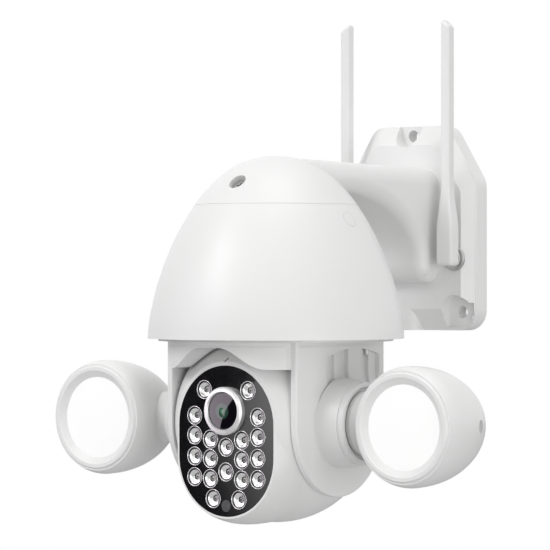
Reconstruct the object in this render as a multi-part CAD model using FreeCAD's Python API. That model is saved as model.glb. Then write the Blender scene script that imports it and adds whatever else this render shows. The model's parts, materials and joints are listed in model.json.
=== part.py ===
import FreeCAD, Part
import math
import os
from FreeCAD import Vector

# Floodlight security camera, modelled in millimetres.
# The wall is the plane Y = 0. The camera hangs out from it towards -Y, with +Z up.
# The origin is the centre of the back of the wall plate.
# Head parts are drawn in a head frame and placed by head(). In it the pan axis is Z
# and the tilt axis is X.

# Where the two main axes are
PAN_REACH = 131.0
TILT_DROP = 100.0

# Running and clearance gaps
RUN_GAP = 0.05

# Dome housing
DOME_RADIUS = 65.8
DOME_HEIGHT = 93.5
DOME_RIM = 42.2
DOME_SEAM = 68.3
DOME_WALL = 2.6
DOME_FULLNESS = 1.58
DOME_CROWN = 0.4
SEAM_GROOVE = 0.3
GASKET_INSET = 1.15
GASKET_WIDTH = 0.8
CAP_RECESS_RADIUS = 4.65
CAP_RECESS_DEPTH = 5.0
PLUG_RADIUS = 4.3

# Arm between the dome and the wall plate
ARM_HALF_WIDTH = 22.0
ARM_TOP_FRONT = 134.2
ARM_TOP_REAR = 131.8
ARM_BOTTOM = 70.3
ARM_WALL = 2.8
ARM_TOP_ROUND = 9.0
ARM_ROUND = 7.0
ARM_BEND = 10.5
ARM_SWEEP_CENTRE = 33.0
ARM_SWEEP_REACH = 68.0
ARM_SWEEP_TOP = 117.7
ARM_SCREW_RADIUS = 1.5
ARM_SCREW_HIGH = 22.0
ARM_SCREW_LOW = -24.0

# Wall plate
PLATE_HALF_WIDTH = 42.5
PLATE_HALF_HEIGHT = 55.1
PLATE_THICK = 10.0
PLATE_TOP_HALF = 23.5
PLATE_CHAMFER = 30.5
PLATE_WALL = 4.0
PLATE_FACE = 3.0
PAD_PROUD = 6.7
PAD_RIM = 0.8
PAD_HALF_WIDTH = 37.0
PAD_TOP_HALF = 19.0
PAD_SHOULDER = 19.0
PAD_TOP = 44.7
PAD_BOTTOM = -43.7
SCREW_RADIUS = 3.25
TOP_SCREW_HEIGHT = 49.9
LOW_SCREW_HALF = 32.5
LOW_SCREW_HEIGHT = -45.2
OUTLET_RADIUS = 7.5
OUTLET_DEPTH = 10.2
GROMMET_RADIUS = 5.0
GROMMET_LENGTH = 14.0
GROMMET_DEPTH = 7.7
CABLE_RADIUS = 3.2
CABLE_WINDOW = (9.0, 22.0)

# Antennas
ANTENNA_HALF = 33.0
ANTENNA_PIVOT = -16.6
ANTENNA_PIN = 3.0
ANTENNA_LENGTH = 127.7
ANTENNA_TAIL = 3.8
ANTENNA_BASE = (10.0, 8.0)
ANTENNA_TIP = (5.6, 5.6)
SOCKET_RADIUS = 6.6
SOCKET_HEIGHT = 1.6

# Deck, spindle and pan drive inside the dome
DECK_BOTTOM = 62.0
DECK_THICK = 3.0
SPINDLE_RADIUS = 9.0
SPINDLE_TOP = 76.0
BEARING_RADIUS = 14.0
PAN_GEAR_TEETH = 48
PAN_PINION_TEETH = 12
GEAR_MODULE = 1.0
GEAR_BOTTOM = 67.0
GEAR_THICK = 4.0
MOTOR_RADIUS = 14.0
MOTOR_LENGTH = 19.0
MOTOR_LUG_HALF = 17.5
MOTOR_BOTTOM = GEAR_BOTTOM + GEAR_THICK + 2.0
MOTOR_ANGLE = 60.0
BOARD_HEIGHT = 96.0
BOARD_RADIUS = 37.0
BOARD_THICK = 1.6

# Turntable and yoke
TABLE_RADIUS = 60.3
TABLE_BOTTOM = 41.0
TABLE_THICK = 3.0
HAT_RADIUS = 36.5
HAT_TOP = 58.0
HAT_WALL = 2.5
YOKE_RADIUS = 56.0
YOKE_HALF_WIDTH = 41.5
SIDE_THICK = 3.5
WAVE_PEAK = 38.2
WAVE_FOOT = 27.5
WAVE_START = 6.0
WAVE_END = 30.0
BOSS_ROOT = 23.0
BOSS_RADIUS = 21.4
BOSS_END = 54.0
COLLAR_RADIUS = 20.7
COLLAR_END = 57.5
COLLAR_START = 50.0
VENT_CENTRE = 12.0
VENT_PEAK = 37.6
VENT_SPREAD = 126.0
VENT_FOOT = 10.0
VENT_HALF_SPAN = 34.0
VENTS = ((-20.0, 33.0, 0.7), (-11.6, -5.2, 2.9), (-2.6, 6.8, 2.9), (18.4, 24.4, 2.9), (26.2, 32.6, 2.4))

# Eye: the tilting ball with its face panel
BALL_RADIUS = 52.0
BALL_WALL = 2.6
CAVITY_RADIUS = 53.2
CAP_SPLIT = 24.0
FACE_FRONT = -41.6
PANEL_HALF_WIDTH = 30.1
PANEL_HALF_HEIGHT = 38.05
PANEL_CENTRE = -8.95
PANEL_THICK = 2.0
PANEL_RIM = 1.0
PANEL_LAND = 1.6
SNOUT_WIDEN = 8.1
SNOUT_DEEPEN = 7.9
SNOUT_LIFT = 4.95
LENS_RISE = 15.2
LENS_RADIUS = 12.1
WINDOW_RADIUS = 9.4
LENS_PROUD = 3.6
CUP_RADIUS = 4.8
CUP_DEPTH = 5.0
EMITTER_RADIUS = 1.4
ROUND_LEDS = ((-13.9, 25.7), (13.9, 25.7), (20.1, 12.5), (-20.1, 2.5), (-20.1, -18.6), (10.0, 0.7),
              (20.1, -8.1), (0.0, -3.0), (-10.0, -19.2), (10.0, -19.2), (-8.2, -29.2))
SLOT_LEDS = ((-20.1, 12.5), (-20.1, -8.1), (-10.0, 0.7), (-10.0, -9.1), (10.0, -9.1), (0.0, -15.5),
             (20.1, 2.5), (20.1, -18.6), (8.2, -29.2))
SENSOR_DROP = 32.5
SENSOR_RADIUS = 3.0
SHAFT_RADIUS = 5.0
BUSH_RADIUS = 8.0
BALL_FLAT = YOKE_HALF_WIDTH - SIDE_THICK - 1.1
MOTOR_FACE = BALL_FLAT - BALL_WALL - 6.0
BOARD_FRONT = FACE_FRONT + 0.2 + CUP_DEPTH

# Lamps
LAMP_OFFSET = 98.0
LAMP_RADIUS = 29.9
LAMP_WAIST = -18.0
LAMP_LENGTH = 46.4
LAMP_FRONT = -27.2
LAMP_LIP = LAMP_RADIUS - 2.8
LAMP_WALL = 2.4
BEZEL_FRONT = -28.2
BEZEL_INNER = LAMP_RADIUS - 5.8
GLOW_RADIUS = LAMP_RADIUS - 8.8
GLOW_FRONT = -26.0
NECK_RADIUS = 12.0
NECK_FLANGE = 15.0
LAMP_SCREW_Y = 2.5
LAMP_RECESS_RADIUS = 3.5


def head(shape):
    """Move a shape from the head frame to the wall frame."""
    placed = shape.copy()
    placed.translate(Vector(0, -PAN_REACH, -TILT_DROP))
    return placed


def box(x0, x1, y0, y1, z0, z1):
    """Make a box from its two corners."""
    return Part.makeBox(x1 - x0, y1 - y0, z1 - z0, Vector(x0, y0, z0))


def rod(radius, start, end):
    """Make a cylinder between two points."""
    along = Vector(*end) - Vector(*start)
    return Part.makeCylinder(radius, along.Length, Vector(*start), along)


def tube(outer, inner, start, end):
    """Make a pipe between two points."""
    return rod(outer, start, end).cut(rod(inner, start, end))


def cone(radius_start, radius_end, start, end):
    """Make a tapered rod between two points."""
    along = Vector(*end) - Vector(*start)
    return Part.makeCone(radius_start, radius_end, along.Length, Vector(*start), along)


def turned(points, centre, axis):
    """Turn a closed outline of (radius, distance along the axis) pairs about the axis."""
    side = Vector(0, 0, 1) if abs(axis.z) < 0.5 else Vector(1, 0, 0)
    corners = [centre + side * r + axis * d for r, d in points]
    face = Part.Face(Part.makePolygon(corners + corners[:1]))
    return face.revolve(centre, axis, 360)


def mirror_x(shape):
    """Mirror a shape from one side of the camera to the other."""
    return shape.mirror(Vector(0, 0, 0), Vector(1, 0, 0))


def group(shapes):
    """Collect separate solids that share one node."""
    solids = [solid for shape in shapes for solid in shape.Solids]
    return Part.makeCompound(solids)


def rounded_outline(points, radii, place):
    """Join corner points by straight edges with an arc of the given radius at each corner."""
    count = len(points)
    edges = []
    ends = []
    for i in range(count):
        corner = Vector(points[i][0], points[i][1], 0)
        before = Vector(points[i - 1][0], points[i - 1][1], 0)
        after = Vector(points[(i + 1) % count][0], points[(i + 1) % count][1], 0)
        back = (before - corner).normalize()
        ahead = (after - corner).normalize()
        half = math.acos(max(-1.0, min(1.0, back.dot(ahead)))) / 2
        reach = radii[i] / math.tan(half)
        first = corner + back * reach
        last = corner + ahead * reach
        bisector = (back + ahead).normalize()
        middle = corner + bisector * (radii[i] / math.sin(half) - radii[i])
        edges.append(Part.Arc(place(first), place(middle), place(last)).toShape())
        ends.append((first, last))
    for i in range(count):
        start = place(ends[i][1])
        stop = place(ends[(i + 1) % count][0])
        if start.distanceToPoint(stop) > 1e-4:
            edges.append(Part.LineSegment(start, stop).toShape())
    return Part.Wire(Part.__sortEdges__(edges))


def stadium(half_width, half_height, centre, y):
    """Make an upright stadium outline facing along Y."""
    straight = half_height - half_width
    top = centre + straight
    low = centre - straight
    upper = Part.Arc(Vector(half_width, y, top), Vector(0, y, top + half_width), Vector(-half_width, y, top))
    lower = Part.Arc(Vector(-half_width, y, low), Vector(0, y, low - half_width), Vector(half_width, y, low))
    left = Part.LineSegment(Vector(-half_width, y, top), Vector(-half_width, y, low))
    right = Part.LineSegment(Vector(half_width, y, low), Vector(half_width, y, top))
    return Part.Wire([upper.toShape(), left.toShape(), lower.toShape(), right.toShape()])


def stadium_block(half_width, half_height, y0, y1):
    """Make a solid of stadium section between two depths."""
    face = Part.Face(stadium(half_width, half_height, PANEL_CENTRE, y0))
    return face.extrude(Vector(0, y1 - y0, 0))


# ---- Housing ----

def dome_solid(inset):
    """Turn the dome profile: full at the rim, sweeping in to a rounded crown."""
    radius = DOME_RADIUS - inset
    height = DOME_HEIGHT - inset
    points = []
    steps = 24
    for i in range(steps + 1):
        angle = math.pi / 2 * i / steps
        t = math.sin(angle)
        power = DOME_FULLNESS + DOME_CROWN * t ** 6
        points.append(Vector(radius * math.sqrt(max(0.0, 1 - t ** power)), 0, DOME_RIM + height * t))
    curve = Part.BSplineCurve()
    curve.interpolate(points)
    base = Vector(0, 0, DOME_RIM)
    axis = Part.makeLine(points[-1], base)
    floor = Part.makeLine(base, points[0])
    face = Part.Face(Part.Wire([curve.toShape(), axis, floor]))
    return face.revolve(Vector(0, 0, 0), Vector(0, 0, 1), 360)


def dome_radius_at(height):
    """Give the outside radius of the dome at a height in the head frame."""
    t = (height - DOME_RIM) / DOME_HEIGHT
    power = DOME_FULLNESS + DOME_CROWN * t ** 6
    return DOME_RADIUS * math.sqrt(1 - t ** power)


def above(height):
    """Make a large block above a height."""
    return box(-200, 200, -200, 200, height, 300)


def seam_ring():
    """Make the thin groove round the outside of the dome seam."""
    height = DOME_RIM + DOME_SEAM
    return Part.makeTorus(dome_radius_at(height), SEAM_GROOVE, Vector(0, 0, height))


def plug_frame():
    """Give the centre and outward direction of the side plug on the skirt."""
    height = 102.7
    step = 0.5
    slope = (dome_radius_at(height + step) - dome_radius_at(height - step)) / (2 * step)
    outward = Vector(1, 0, -slope).normalize()
    return Vector(dome_radius_at(height), 0, height), outward


def plug_rod(radius, depth_in, depth_out):
    """Make a rod through the dome wall at the side plug."""
    centre, outward = plug_frame()
    start = centre - outward * depth_in
    end = centre + outward * depth_out
    return rod(radius, tuple(start), tuple(end))

def gasket_ring():
    """Make the square sealing ring that sits in the top of the skirt."""
    height = DOME_RIM + DOME_SEAM
    middle = dome_radius_at(height) - GASKET_INSET
    inner = middle - GASKET_WIDTH / 2
    outer = middle + GASKET_WIDTH / 2
    points = [(inner, -GASKET_WIDTH), (outer, -GASKET_WIDTH), (outer, 0.0), (inner, 0.0)]
    return turned(points, Vector(0, 0, height), Vector(0, 0, 1))


def deck_edge():
    """Give the radius of the deck where it meets the inside of the skirt."""
    inner_height = DOME_HEIGHT - DOME_WALL
    t = (DECK_BOTTOM + DECK_THICK - DOME_RIM) / inner_height
    power = DOME_FULLNESS + DOME_CROWN * t ** 6
    return (DOME_RADIUS - DOME_WALL) * math.sqrt(1 - t ** power)


def make_dome_skirt():
    """Lower part of the dome: an open shell with a ledge that carries the deck."""
    seam = DOME_RIM + DOME_SEAM
    shell = dome_solid(0).cut(dome_solid(DOME_WALL)).cut(above(seam))
    ledge_top = DECK_BOTTOM
    ring = tube(DOME_RADIUS, deck_edge() - 2.0, (0, 0, ledge_top - 2.4), (0, 0, ledge_top))
    ledge = ring.common(dome_solid(DOME_WALL / 2))
    skirt = shell.fuse(ledge).cut(seam_ring()).cut(gasket_ring())
    plug = plug_rod(PLUG_RADIUS, 12, 4)
    skirt = skirt.cut(plug).cut(mirror_x(plug))
    return skirt.removeSplitter()


def make_skirt_plugs():
    """Two flush plugs over the side screws of the skirt."""
    wall = dome_solid(0).cut(dome_solid(DOME_WALL))
    plug = plug_rod(PLUG_RADIUS, 12, 4).common(wall)
    rim = plug_rod(PLUG_RADIUS, 0.5, 4).cut(plug_rod(PLUG_RADIUS - 0.2, 0.5, 4))
    plug = plug.cut(rim)
    return group([plug, mirror_x(plug)])


def arm_outline(inset):
    """Draw the side view of the arm in the YZ plane."""
    end = PAN_REACH - PLATE_THICK - PAD_PROUD
    low = ARM_BOTTOM + inset
    sweep_rise = ARM_SWEEP_TOP - ARM_BOTTOM - ARM_BEND
    sweep_level = ARM_BOTTOM + ARM_BEND
    reach = ARM_SWEEP_REACH + inset
    rise = sweep_rise + inset
    heel = Vector(0, ARM_SWEEP_CENTRE + reach, sweep_level)
    corner = Vector(0, ARM_SWEEP_CENTRE + ARM_SWEEP_REACH + ARM_BEND, low)
    bend = ARM_BEND - inset
    bend_centre = Vector(0, corner.y, sweep_level)
    bend_middle = bend_centre - Vector(0, math.cos(math.pi / 4), math.sin(math.pi / 4)) * bend
    crest = Vector(0, ARM_SWEEP_CENTRE, sweep_level + rise)
    hub = Vector(0, ARM_SWEEP_CENTRE, sweep_level)
    sweep = Part.ArcOfEllipse(Part.Ellipse(heel, crest, hub), 0, math.pi / 2)
    inner = Vector(0, 0, crest.z)
    top_front = Vector(0, 0, ARM_TOP_FRONT - inset)
    top_rear = Vector(0, end, ARM_TOP_REAR - inset)
    foot = Vector(0, end, low)
    edges = [sweep.toShape(), Part.makeLine(crest, inner), Part.makeLine(inner, top_front)]
    edges += [Part.makeLine(top_front, top_rear), Part.makeLine(top_rear, foot), Part.makeLine(foot, corner)]
    edges.append(Part.Arc(corner, bend_middle, heel).toShape())
    return Part.Face(Part.Wire(Part.__sortEdges__(edges)))


def arm_solid(inset):
    """Make the arm as a block of the side view with rounded long edges, rounder along the top."""
    half = ARM_HALF_WIDTH - inset
    face = arm_outline(inset)
    face.translate(Vector(-half, 0, 0))
    block = face.extrude(Vector(2 * half, 0, 0))
    end = PAN_REACH - PLATE_THICK - PAD_PROUD
    top = []
    under = []
    for edge in block.Edges:
        bounds = edge.BoundBox
        flat = bounds.XLength < 0.01 and abs(abs(bounds.Center.x) - half) < 0.01
        upright_end = abs(bounds.YMin - end) < 0.01 or bounds.YMax < 0.01
        if flat and not upright_end:
            level = top if bounds.ZMin > ARM_TOP_REAR - inset - 1 else under
            level.append(edge)
    return block.makeFillet(ARM_TOP_ROUND - inset, top).makeFillet(ARM_ROUND - inset, under)


def cap_screw_frame():
    """Give the centre and outward direction of the screw recess on the front of the cap."""
    height = 121.9
    step = 0.5
    slope = (dome_radius_at(height + step) - dome_radius_at(height - step)) / (2 * step)
    outward = Vector(0, -1, -slope).normalize()
    return Vector(0, -dome_radius_at(height), height), outward

def cap_rod(radius, depth_in, depth_out):
    """Make a rod along the axis of the cap screw."""
    centre, outward = cap_screw_frame()
    return rod(radius, tuple(centre - outward * depth_in), tuple(centre + outward * depth_out))


def make_cap_and_arm():
    """Top of the dome with the hollow arm that carries it."""
    seam = DOME_RIM + DOME_SEAM
    outer = dome_solid(0).common(above(seam)).fuse(arm_solid(0))
    hollow = dome_solid(DOME_WALL).common(above(seam)).fuse(arm_solid(ARM_WALL))
    shell = outer.cut(hollow)
    boss = cap_rod(CAP_RECESS_RADIUS + 1.8, CAP_RECESS_DEPTH + 2.0, 6).common(dome_solid(DOME_WALL / 2))
    boss = boss.common(above(seam))
    shell = shell.fuse(boss).cut(cap_rod(CAP_RECESS_RADIUS, CAP_RECESS_DEPTH, 8))
    return shell.cut(cap_rod(1.5, CAP_RECESS_DEPTH + 1.9, 8)).cut(seam_ring()).removeSplitter()


def make_cap_screw():
    """Pan-head screw with a cross slot, at the bottom of the cap recess."""
    centre, outward = cap_screw_frame()
    screw = cap_rod(3.4, CAP_RECESS_DEPTH, -CAP_RECESS_DEPTH + 2.0)
    screw = screw.fuse(cap_rod(1.5, CAP_RECESS_DEPTH + 1.8, -CAP_RECESS_DEPTH))
    slot = box(-2.0, 2.0, -0.4, 0.4, 0, 2).fuse(box(-0.4, 0.4, -2.0, 2.0, 0, 2))
    turn = FreeCAD.Rotation(Vector(0, 0, 1), outward)
    slot.Placement = FreeCAD.Placement(centre - outward * (CAP_RECESS_DEPTH - 1.0), turn)
    return screw.cut(slot)


def make_cap_gasket():
    """Sealing ring between the cap and the skirt."""
    return gasket_ring()


# ---- Wall plate ----

def plate_points(inset):
    """List the corners of the plate outline."""
    top = PLATE_HALF_HEIGHT - inset
    side = PLATE_HALF_WIDTH - inset
    shoulder = PLATE_HALF_HEIGHT - PLATE_CHAMFER - inset * 0.55
    top_half = PLATE_TOP_HALF - inset * 0.55
    return [(-top_half, top), (top_half, top), (side, shoulder), (side, -top), (-side, -top), (-side, shoulder)]


def plate_block(inset, y0, y1):
    """Make a slab with the outline of the plate."""
    outline = rounded_outline(plate_points(inset), (10, 10, 12, 11, 11, 12), lambda p: Vector(p.x, y0, p.y))
    return Part.Face(outline).extrude(Vector(0, y1 - y0, 0))


def pad_block():
    """Raised pad: its sides slope in from the rim of the plate to a smaller flat front."""
    radii = (10, 10, 12, 11, 11, 12)
    front = -PLATE_THICK - PAD_PROUD
    foot = rounded_outline(plate_points(PAD_RIM), radii, lambda p: Vector(p.x, -PLATE_THICK, p.y))
    corners = [(-PAD_TOP_HALF, PAD_TOP), (PAD_TOP_HALF, PAD_TOP), (PAD_HALF_WIDTH, PAD_SHOULDER)]
    corners += [(PAD_HALF_WIDTH, PAD_BOTTOM), (-PAD_HALF_WIDTH, PAD_BOTTOM), (-PAD_HALF_WIDTH, PAD_SHOULDER)]
    face = rounded_outline(corners, (5, 5, 8, 8, 8, 8), lambda p: Vector(p.x, front, p.y))
    slab = plate_block(PAD_RIM, -PLATE_THICK, -PLATE_THICK + 1)
    return Part.makeLoft([foot, face], True, True).fuse(slab)


def low_recess():
    """Cut-out round a lower wall screw, arched at the top and open to the side."""
    front = -PLATE_THICK - PAD_PROUD - 1
    floor = -PLATE_THICK + 1.5
    centre = LOW_SCREW_HEIGHT + 0.8
    arch = rod(8.4, (LOW_SCREW_HALF, front, centre), (LOW_SCREW_HALF, floor, centre))
    below = box(LOW_SCREW_HALF - 8.4, LOW_SCREW_HALF + 7.6, front, floor, -PLATE_HALF_HEIGHT + 1.8, centre)
    side = box(LOW_SCREW_HALF, PLATE_HALF_WIDTH - 1.2, front, floor, -PLATE_HALF_HEIGHT + 8, centre + 4.2)
    return arch.fuse(below).fuse(side)


def make_wall_plate():
    """Wall plate with raised pad, cable channel and three wall screw holes."""
    front = -PLATE_THICK
    pad_front = front - PAD_PROUD
    plate = plate_block(0, front, 0)
    rim = [e for e in plate.Edges if e.BoundBox.YMax < front + 0.01]
    plate = plate.makeFillet(PAD_RIM, rim)
    plate = plate.fuse(pad_block())
    outlet = rod(OUTLET_RADIUS, (0, -OUTLET_DEPTH, -PLATE_HALF_HEIGHT), (0, -OUTLET_DEPTH, PAD_BOTTOM + 4))
    outlet = outlet.common(box(-20, 20, -40, front + 1, -60, 0))
    plate = plate.fuse(outlet)
    hollow = plate_block(PLATE_WALL, front + PLATE_FACE, 0)
    posts = [rod(7.0, (x, front, z), (x, 0, z)) for x, z in screw_places()]
    plate = plate.cut(hollow.cut(posts[0].fuse(posts[1:])))
    for low in (-CABLE_WINDOW[1], CABLE_WINDOW[0]):
        high = low + CABLE_WINDOW[1] - CABLE_WINDOW[0]
        plate = plate.cut(box(-14, 14, pad_front, 0, low, high))
    plate = plate.fuse(rod(7.0, (0, front, 0), (0, 0, 0)))
    plate = plate.cut(rod(GROMMET_RADIUS, (0, -GROMMET_DEPTH, -PLATE_HALF_HEIGHT - 1),
                          (0, -GROMMET_DEPTH, -PLATE_HALF_HEIGHT + GROMMET_LENGTH)))
    top = PLATE_HALF_HEIGHT
    notch = rod(7.5, (0, front - 20, top - 11.5 + 7.5), (0, front + 2.2, top - 11.5 + 7.5))
    notch = notch.fuse(box(-7.5, 7.5, front - 20, front + 2.2, top - 4, top + 5))
    plate = plate.cut(notch)
    recess = low_recess()
    plate = plate.cut(recess).cut(mirror_x(recess))
    for x, z in screw_places():
        plate = plate.cut(rod(SCREW_RADIUS, (x, -60, z), (x, 1, z)))
    for side in (-1, 1):
        pin = rod(ANTENNA_PIN + RUN_GAP, (side * ANTENNA_HALF, -60, ANTENNA_PIVOT),
                  (side * ANTENNA_HALF, 1, ANTENNA_PIVOT))
        plate = plate.cut(pin)
    for x, z in arm_screw_places():
        plate = plate.cut(rod(ARM_SCREW_RADIUS, (x, -60, z), (x, 1, z)))
    return plate.removeSplitter()


def screw_places():
    """List where the three wall screws go."""
    low = [(-LOW_SCREW_HALF, LOW_SCREW_HEIGHT), (LOW_SCREW_HALF, LOW_SCREW_HEIGHT)]
    return low + [(0, TOP_SCREW_HEIGHT)]


def arm_screw_places():
    """List where the screws from the plate into the arm go."""
    x = ARM_HALF_WIDTH - ARM_WALL - 2.2
    return [(-x, ARM_SCREW_HIGH), (x, ARM_SCREW_HIGH), (-x, ARM_SCREW_LOW), (x, ARM_SCREW_LOW)]


def make_arm_lugs():
    """Screw lugs inside the rear end of the arm."""
    end = -PLATE_THICK - PAD_PROUD
    lugs = []
    for x, z in arm_screw_places():
        side = math.copysign(1, x)
        lug = rod(2.8, (x, end - 9, z), (x, end, z))
        web = box(min(x, side * (ARM_HALF_WIDTH - 1)), max(x, side * (ARM_HALF_WIDTH - 1)), end - 9, end,
                  z - 2.0, z + 2.0)
        lugs.append(lug.fuse(web))
    return lugs


def make_arm_with_lugs():
    """Cap and arm with the screw lugs and their screw holes."""
    end = -PLATE_THICK - PAD_PROUD
    arm = head(make_cap_and_arm())
    for lug in make_arm_lugs():
        arm = arm.fuse(lug)
    for x, z in arm_screw_places():
        arm = arm.cut(rod(ARM_SCREW_RADIUS, (x, end - 8, z), (x, end, z)))
    return arm


def make_arm_screws():
    """Four screws holding the arm to the plate from behind."""
    end = -PLATE_THICK - PAD_PROUD
    seat = -PLATE_THICK + PLATE_FACE
    screws = []
    for x, z in arm_screw_places():
        body = rod(ARM_SCREW_RADIUS, (x, end - 7.5, z), (x, seat, z))
        screws.append(body.fuse(rod(2.8, (x, seat, z), (x, seat + 1.8, z))))
    return group(screws)


def make_cable_grommet():
    """Rubber grommet in the mouth of the cable channel, with its cable hole."""
    y = -GROMMET_DEPTH
    low = -PLATE_HALF_HEIGHT
    return tube(GROMMET_RADIUS, CABLE_RADIUS, (0, y, low), (0, y, low + GROMMET_LENGTH))


# ---- Antennas, drawn for the +X side in the wall frame ----

def make_antenna_socket():
    """Round seat on the pad that the antenna turns on."""
    front = -PLATE_THICK - PAD_PROUD
    ring = tube(SOCKET_RADIUS, ANTENNA_PIN + RUN_GAP, (ANTENNA_HALF, front - SOCKET_HEIGHT, ANTENNA_PIVOT),
                (ANTENNA_HALF, front, ANTENNA_PIVOT))
    edge = [e for e in ring.Edges if e.BoundBox.YMax < front - 0.5 and e.BoundBox.XLength > SOCKET_RADIUS * 1.5]
    return ring.makeFillet(0.5, edge)


def antenna_depths():
    """Give the rear and middle depth of the antenna blade."""
    rear = -PLATE_THICK - PAD_PROUD - SOCKET_HEIGHT - 1.2
    return rear, rear - ANTENNA_BASE[1] / 2


def make_antenna_paddle():
    """Slim blade, widening to a square foot over the pivot."""
    rear, middle = antenna_depths()
    sections = []
    for rise, share in ((-ANTENNA_TAIL, 1.0), (9.0, 1.0), (14.0, 0.95), (18.0, 0.82), (23.0, 0.58),
                        (28.0, 0.34), (33.0, 0.14), (38.0, 0.04), (44.0, 0.0), (ANTENNA_LENGTH, 0.0)):
        half_x = (ANTENNA_TIP[0] + (ANTENNA_BASE[0] - ANTENNA_TIP[0]) * share) / 2
        half_y = (ANTENNA_TIP[1] + (ANTENNA_BASE[1] - ANTENNA_TIP[1]) * share) / 2
        z = ANTENNA_PIVOT + rise
        corners = [(-half_x, -half_y), (half_x, -half_y), (half_x, half_y), (-half_x, half_y)]
        place = lambda p, z=z: Vector(ANTENNA_HALF + p.x, middle + p.y, z)
        sections.append(rounded_outline(corners, (1.2, 1.2, 1.2, 1.2), place))
    blade = Part.makeLoft(sections, True, True)
    slant = box(-10, 10, -20, 20, 0, 12)
    slant.Placement = FreeCAD.Placement(Vector(ANTENNA_HALF + 0.6, middle, ANTENNA_PIVOT + ANTENNA_LENGTH),
                                        FreeCAD.Rotation(Vector(0, 1, 0), 38))
    return blade.cut(slant)


def make_antenna_pivot():
    """Pin, washer and retaining head that let the antenna swing."""
    rear, middle = antenna_depths()
    socket_front = -PLATE_THICK - PAD_PROUD - SOCKET_HEIGHT
    inner_face = -PLATE_THICK + PLATE_FACE
    x, z = ANTENNA_HALF, ANTENNA_PIVOT
    pivot = rod(ANTENNA_PIN, (x, rear, z), (x, inner_face + 0.3, z))
    washer = rod(5.0, (x, rear, z), (x, socket_front - 0.35, z))
    clip = rod(4.6, (x, inner_face + 0.35, z), (x, inner_face + 1.8, z))
    pin_end = rod(ANTENNA_PIN, (x, inner_face, z), (x, inner_face + 1.8, z))
    return pivot.fuse(washer).fuse(clip).fuse(pin_end).removeSplitter()


# ---- Pan drive ----

def gear_blank(teeth, thick, bottom):
    """Make a spur gear with slim straight-sided teeth and generous backlash."""
    pitch = GEAR_MODULE * teeth / 2
    corners = []
    for i in range(teeth):
        middle = 2 * math.pi * i / teeth
        for radius, half in ((pitch - 1.15, -0.82), (pitch + 0.8, -0.3), (pitch + 0.8, 0.3), (pitch - 1.15, 0.82)):
            angle = middle + half * GEAR_MODULE / radius
            corners.append(Vector(radius * math.cos(angle), radius * math.sin(angle), bottom))
    face = Part.Face(Part.makePolygon(corners + corners[:1]))
    return face.extrude(Vector(0, 0, thick))


def motor_centre():
    """Give the place of the pan motor shaft."""
    distance = GEAR_MODULE * (PAN_GEAR_TEETH + PAN_PINION_TEETH) / 2
    angle = math.radians(MOTOR_ANGLE)
    return Vector(distance * math.cos(angle), distance * math.sin(angle), 0)


def motor_lugs():
    """Give the places of the two motor screws."""
    centre = motor_centre()
    across = Vector(0, 0, 1).cross(centre).normalize()
    return [centre + across * MOTOR_LUG_HALF, centre - across * MOTOR_LUG_HALF]


def make_deck_plate():
    """Fixed deck inside the dome that carries the bearing, motor and boards."""
    top = DECK_BOTTOM + DECK_THICK
    deck = rod(deck_edge() - 0.4, (0, 0, DECK_BOTTOM), (0, 0, top))
    deck = deck.cut(rod(BEARING_RADIUS, (0, 0, DECK_BOTTOM - 1), (0, 0, top + 1)))
    for lug in motor_lugs():
        deck = deck.fuse(rod(3.0, (lug.x, lug.y, top), (lug.x, lug.y, MOTOR_BOTTOM)))
    return deck


def make_pan_bearing():
    """Plain bearing pressed into the deck, round the spindle."""
    low = DECK_BOTTOM - 0.6
    high = DECK_BOTTOM + DECK_THICK + 0.4
    bearing = tube(BEARING_RADIUS, SPINDLE_RADIUS + RUN_GAP, (0, 0, low), (0, 0, high))
    flange = tube(BEARING_RADIUS + 2, SPINDLE_RADIUS + RUN_GAP, (0, 0, DECK_BOTTOM + DECK_THICK), (0, 0, high))
    return bearing.fuse(flange).removeSplitter()


def make_pan_gear():
    """Large gear pressed on the spindle."""
    gear = gear_blank(PAN_GEAR_TEETH, GEAR_THICK, GEAR_BOTTOM)
    hub_bottom = DECK_BOTTOM + DECK_THICK + 0.4 + 0.35
    gear = gear.fuse(rod(12.5, (0, 0, hub_bottom), (0, 0, GEAR_BOTTOM + GEAR_THICK + 1)))
    gear = gear.cut(rod(SPINDLE_RADIUS, (0, 0, 50), (0, 0, 90)))
    for i in range(6):
        angle = 2 * math.pi * i / 6
        x = 17.2 * math.cos(angle)
        y = 17.2 * math.sin(angle)
        gear = gear.cut(rod(3.2, (x, y, 50), (x, y, 90)))
    return gear


def make_pan_pinion():
    """Motor pinion and its shaft, drawn in place beside the large gear."""
    centre = motor_centre()
    gear = gear_blank(PAN_PINION_TEETH, GEAR_THICK, GEAR_BOTTOM)
    gear = gear.fuse(rod(2.5, (0, 0, GEAR_BOTTOM - 0.8), (0, 0, MOTOR_BOTTOM + 3.0)))
    gear.rotate(Vector(0, 0, 0), Vector(0, 0, 1), pinion_phase())
    gear.translate(centre)
    return gear


def pinion_phase():
    """Turn the pinion so that a gap faces the tooth of the large gear."""
    gear_pitch = 360.0 / PAN_GEAR_TEETH
    offset = (MOTOR_ANGLE % gear_pitch) / gear_pitch
    pinion_pitch = 360.0 / PAN_PINION_TEETH
    return MOTOR_ANGLE + 180.0 + pinion_pitch * (0.5 + offset)


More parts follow.
